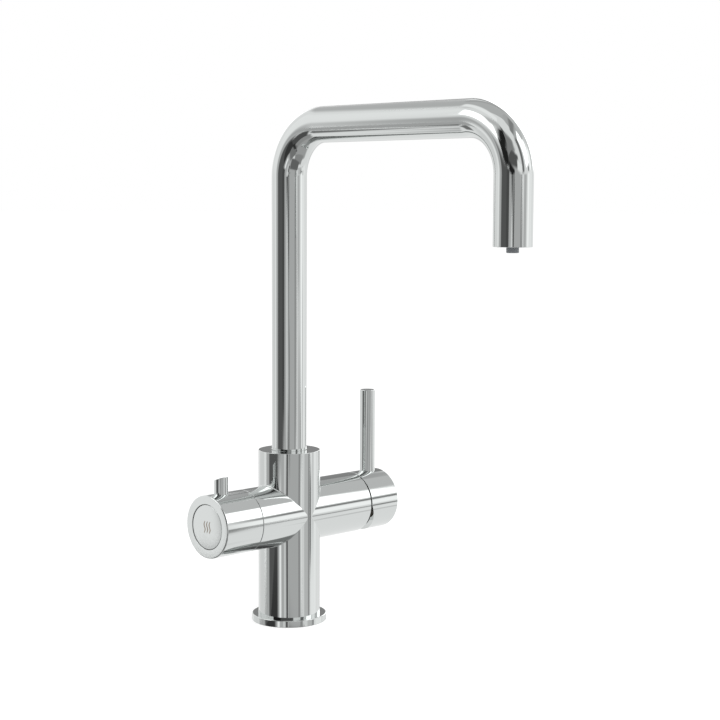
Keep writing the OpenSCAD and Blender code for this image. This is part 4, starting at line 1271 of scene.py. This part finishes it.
@dataclass(frozen=True)
class BoilingKnob:
    """The boiling water knob: its shell, its grip pin, and the safety button with its mark."""

    start: float = 44.3
    face: float = 77.1
    face_edge: float = 0.8
    cavity: float = 19.7
    web: tuple[float, float] = (57.0, 60.0)
    boss: tuple[float, float] = (7.0, 67.0)
    spline: tuple[float, float] = (3.95, 65.1)
    screw: float = 1.95
    button_bore: float = 15.9
    post_ring: float = 13.5
    post: float = 1.5
    posts: tuple[tuple[float, float], ...] = ((225.0, 47.5), (345.0, 55.4), (105.0, 55.4))
    grip_x: float = -64.2
    grip_radius: float = 4.875
    grip_middle: float = 111.1
    grip_saddle: tuple[float, float] = (50.0, 80.0)          # where its hollow foot's cutter runs
    grip_slope: float = 20.0
    grip_blank: float = 50.0                                 # height of the pin before its top is cut
    grip_edge: float = 0.4
    grip_stub: float = 2.5
    grip_stub_deep: float = 5.0
    grip_hole_deep: float = 5.3
    corner: float = 0.6                                      # rounding between a bore and the web
    button: float = 15.6
    button_edge: float = 76.8
    button_back: float = 73.8
    back_edge: float = 0.2
    crown: float = 0.15
    crown_rings: tuple[float, ...] = (12.0, 9.0, 6.0, 3.0, 0.0)
    cup: tuple[float, float, float] = (6.5, 7.5, 72.0)
    spring_radius: float = 8.5
    spring_wire: float = 0.5
    spring_ends: tuple[float, float] = (60.55, 73.25)        # where the wire's first and last sections are
    spring_turns: int = 5
    spring_steps: int = 24                                   # stations in a turn of the wire
    spring_sides: int = 12
    travel: float = 2.5
    mark_height: float = 8.4
    mark_pitch: float = 2.7
    mark_width: float = 0.95
    mark_sway: float = 0.55
    mark_waves: float = 1.25
    mark_taper: float = 0.55                                 # how much narrower a line is at its ends
    mark_thickness: float = 0.04
    mark_gap: float = 0.001                                  # keeps the print off the button's own facets
    mark_steps: tuple[int, int] = (2, 28)                    # facets across a line and up it

    def build(self) -> None:
        """Build the shell, the pin, the button, its spring and the mark."""
        self.build_shell()
        self.build_grip()
        self.build_button()
        self.build_spring()
        self.build_mark()

    def post_rods(self, radius: float, top: float, foot: float | None = None) -> list[Mesh]:
        """Make a rod where each of the button's posts is.

        Args:
            radius: The rods' radius.
            top: Where they end, towards the face.
            foot: Where they start, or None for each post's own tip.

        Returns:
            The rods.
        """
        made = []
        for angle, tip in self.posts:
            a = radians(angle)
            # Turned on its side, a rod's X stands up and its Y stays
            at = (self.post_ring * sin(a), self.post_ring * cos(a))
            made.append(placed(rod(radius, tip if foot is None else foot, top, at), ON_LEFT))
        return made

    def build_shell(self) -> None:
        """Turn the shell with its web and boss, and drill it for the posts and the grip pin."""
        web, web_end = self.web
        boss, boss_end = self.boss
        spline, spline_end = self.spline
        outline = (
            Corner(spline, web), Corner(self.cavity, web, self.corner), Corner(self.cavity, self.start, RIM),
            Corner(ARM_R, self.start, RIM), Corner(ARM_R, self.face, self.face_edge),
            Corner(self.button_bore, self.face, RIM), Corner(self.button_bore, web_end, self.corner),
            Corner(boss, web_end), Corner(boss, boss_end, RIM), Corner(self.screw, boss_end),
            Corner(self.screw, spline_end), Corner(spline, spline_end),
        )
        bm = placed(turned(outline), ON_LEFT)
        for hole in self.post_rods(self.post + 2 * PLAY, web_end + OVER, web - OVER):
            bm = combined(bm, hole, Join.CUT)
        hole = rod(self.grip_stub + PLAY, CREST - self.grip_hole_deep, CREST + OVER, (self.grip_x, 0))
        bm = combined(bm, hole, Join.CUT)
        finished("knob_shell", bm, Body.KNOB, [CHROME], ["boiling_knob"])

    def build_grip(self) -> None:
        """Turn the pin, slope its top towards the back, round it, and hollow its foot for the knob."""
        slope = radians(self.grip_slope)
        blank = plug(self.grip_radius, ARM_Z, ARM_Z + self.grip_blank)
        bm = placed(blank, Matrix.Translation((self.grip_x, 0, 0)))
        bm = sliced(bm, (self.grip_x, 0, self.grip_middle), (0, sin(slope), cos(slope)))
        brim = [e for e in bm.edges if e.calc_face_angle(0) > radians(RIM_DEG) and e.verts[0].co.z > CREST]
        rounded(bm, brim, self.grip_edge)
        bm = combined(bm, placed(plug(SADDLE_R, *self.grip_saddle), ON_LEFT), Join.CUT)
        stub = rod(self.grip_stub, CREST - self.grip_stub_deep, CREST + OVER, (self.grip_x, 0))
        bm = combined(bm, stub, Join.ADD)
        finished("grip", bm, Body.KNOB, [CHROME], ["grip_pin"])

    def crown_at(self, radius: float) -> float:
        """Give how far out the button's crown is at a distance from its middle."""
        ball = (self.button**2 + self.crown**2) / (2 * self.crown)
        return self.button_edge + self.crown - ball + sqrt(ball**2 - radius**2)

    def build_button(self) -> None:
        """Turn the button with its low crown and spring cup, and add its posts."""
        cup_in, cup_out, cup_foot = self.cup
        back = self.button_back
        crown = [Corner(r, self.crown_at(r)) for r in self.crown_rings]
        outline = (
            Corner(0, back), Corner(cup_in, back), Corner(cup_in, cup_foot), Corner(cup_out, cup_foot),
            Corner(cup_out, back), Corner(self.button, back, self.back_edge),
            Corner(self.button, self.button_edge, RIM), *crown,
        )
        bm = placed(turned(outline), ON_LEFT)
        for post in self.post_rods(self.post, back + OVER / 2):
            bm = combined(bm, post, Join.ADD)
        finished("button", bm, Body.BUTTON, [CHROME], ["safety_button"])

    def build_spring(self) -> None:
        """Wind the return spring."""
        bm = bmesh.new()
        low, high = self.spring_ends
        steps = self.spring_steps * self.spring_turns
        rise = (high - low) / steps
        at = Matrix.Translation((self.spring_radius, 0, low)) @ Matrix.Rotation(pi / 2, 4, "X")
        section = bmesh.ops.create_circle(
            bm, cap_ends=True, segments=self.spring_sides, radius=self.spring_wire, matrix=at
        )["verts"]
        bmesh.ops.spin(
            bm, geom=list(section[0].link_faces), cent=(0, 0, 0), axis=(0, 0, 1), dvec=(0, 0, rise),
            angle=2 * pi * self.spring_turns, steps=steps, use_duplicate=False,
        )
        bm = placed(sealed(bm), ON_LEFT)
        spring = finished("return_spring", bm, Body.KNOB, [FINISHES[Slot.STEEL]], ["button_spring"])
        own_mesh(spring)

    def build_mark(self) -> None:
        """Print three wavy lines of steam on the button, a plain sign for hot water."""
        bm = bmesh.new()
        wide, high = self.mark_steps
        for step in (-1, 0, 1):
            line = bmesh.ops.create_grid(bm, x_segments=wide, y_segments=high, size=0.5)["verts"]
            for vert in line:
                up = vert.co.y * self.mark_height
                width = self.mark_width * (1.0 - self.mark_taper * abs(2 * vert.co.y) ** 3)
                sway = self.mark_sway * sin(2 * pi * self.mark_waves * vert.co.y)
                across = step * self.mark_pitch + vert.co.x * width + sway
                vert.co = Vector((-self.crown_at(hypot(across, up)) - self.mark_gap, across, ARM_Z + up))
        made = bmesh.ops.extrude_face_region(bm, geom=bm.faces[:])["geom"]
        bmesh.ops.translate(bm, vec=(-self.mark_thickness, 0, 0), verts=only(Vert, made))
        finished("steam_mark", sealed(bm), Body.BUTTON, [StovedInk()])


# ---- The works inside ----


@dataclass
class Works:
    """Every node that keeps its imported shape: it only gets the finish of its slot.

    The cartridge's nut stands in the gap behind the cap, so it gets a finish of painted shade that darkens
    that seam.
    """

    slots: dict[str, Slot]
    # Nodes whose finish is painted shade: the nut darkens the seam behind the mixer cap.
    painted_shade_nodes: tuple[str, ...] = ("cartridge_nut",)
    rebuilt: tuple[str, ...] = (
        "base_flange", "body_casting", "spout_tube", "mixer_cap", "mixer_lever", "boiling_knob", "grip_pin",
        "safety_button", "button_spring",
    )

    def dress(self) -> None:
        """Give each node that is still shown its finish."""
        for name, node in frame["nodes"].items():
            if name in self.rebuilt:
                continue
            # The nut gets the painted-shade brass, every other node its slot's finish.
            finish = PaintedShadeBrass() if name in self.painted_shade_nodes else FINISHES[self.slots[name]]
            material = finish.material()
            for place in node.material_slots:
                place.link = "DATA"
                place.material = material
            log.info("%s: %s", name, material.name)


def main() -> None:
    """Build every piece round the frame, then the studio."""
    logging.basicConfig(level=logging.INFO, format="%(message)s")
    slots = {p["node"]: Slot(p["material_slot"]) for p in frame["record"]["subparts"]}
    Base().build()
    Casting().build()
    Spout().build()
    MixerHandle().build()
    BoilingKnob().build()
    Works(slots).dress()
    Studio().build()


if __name__ == "__main__":
    main()
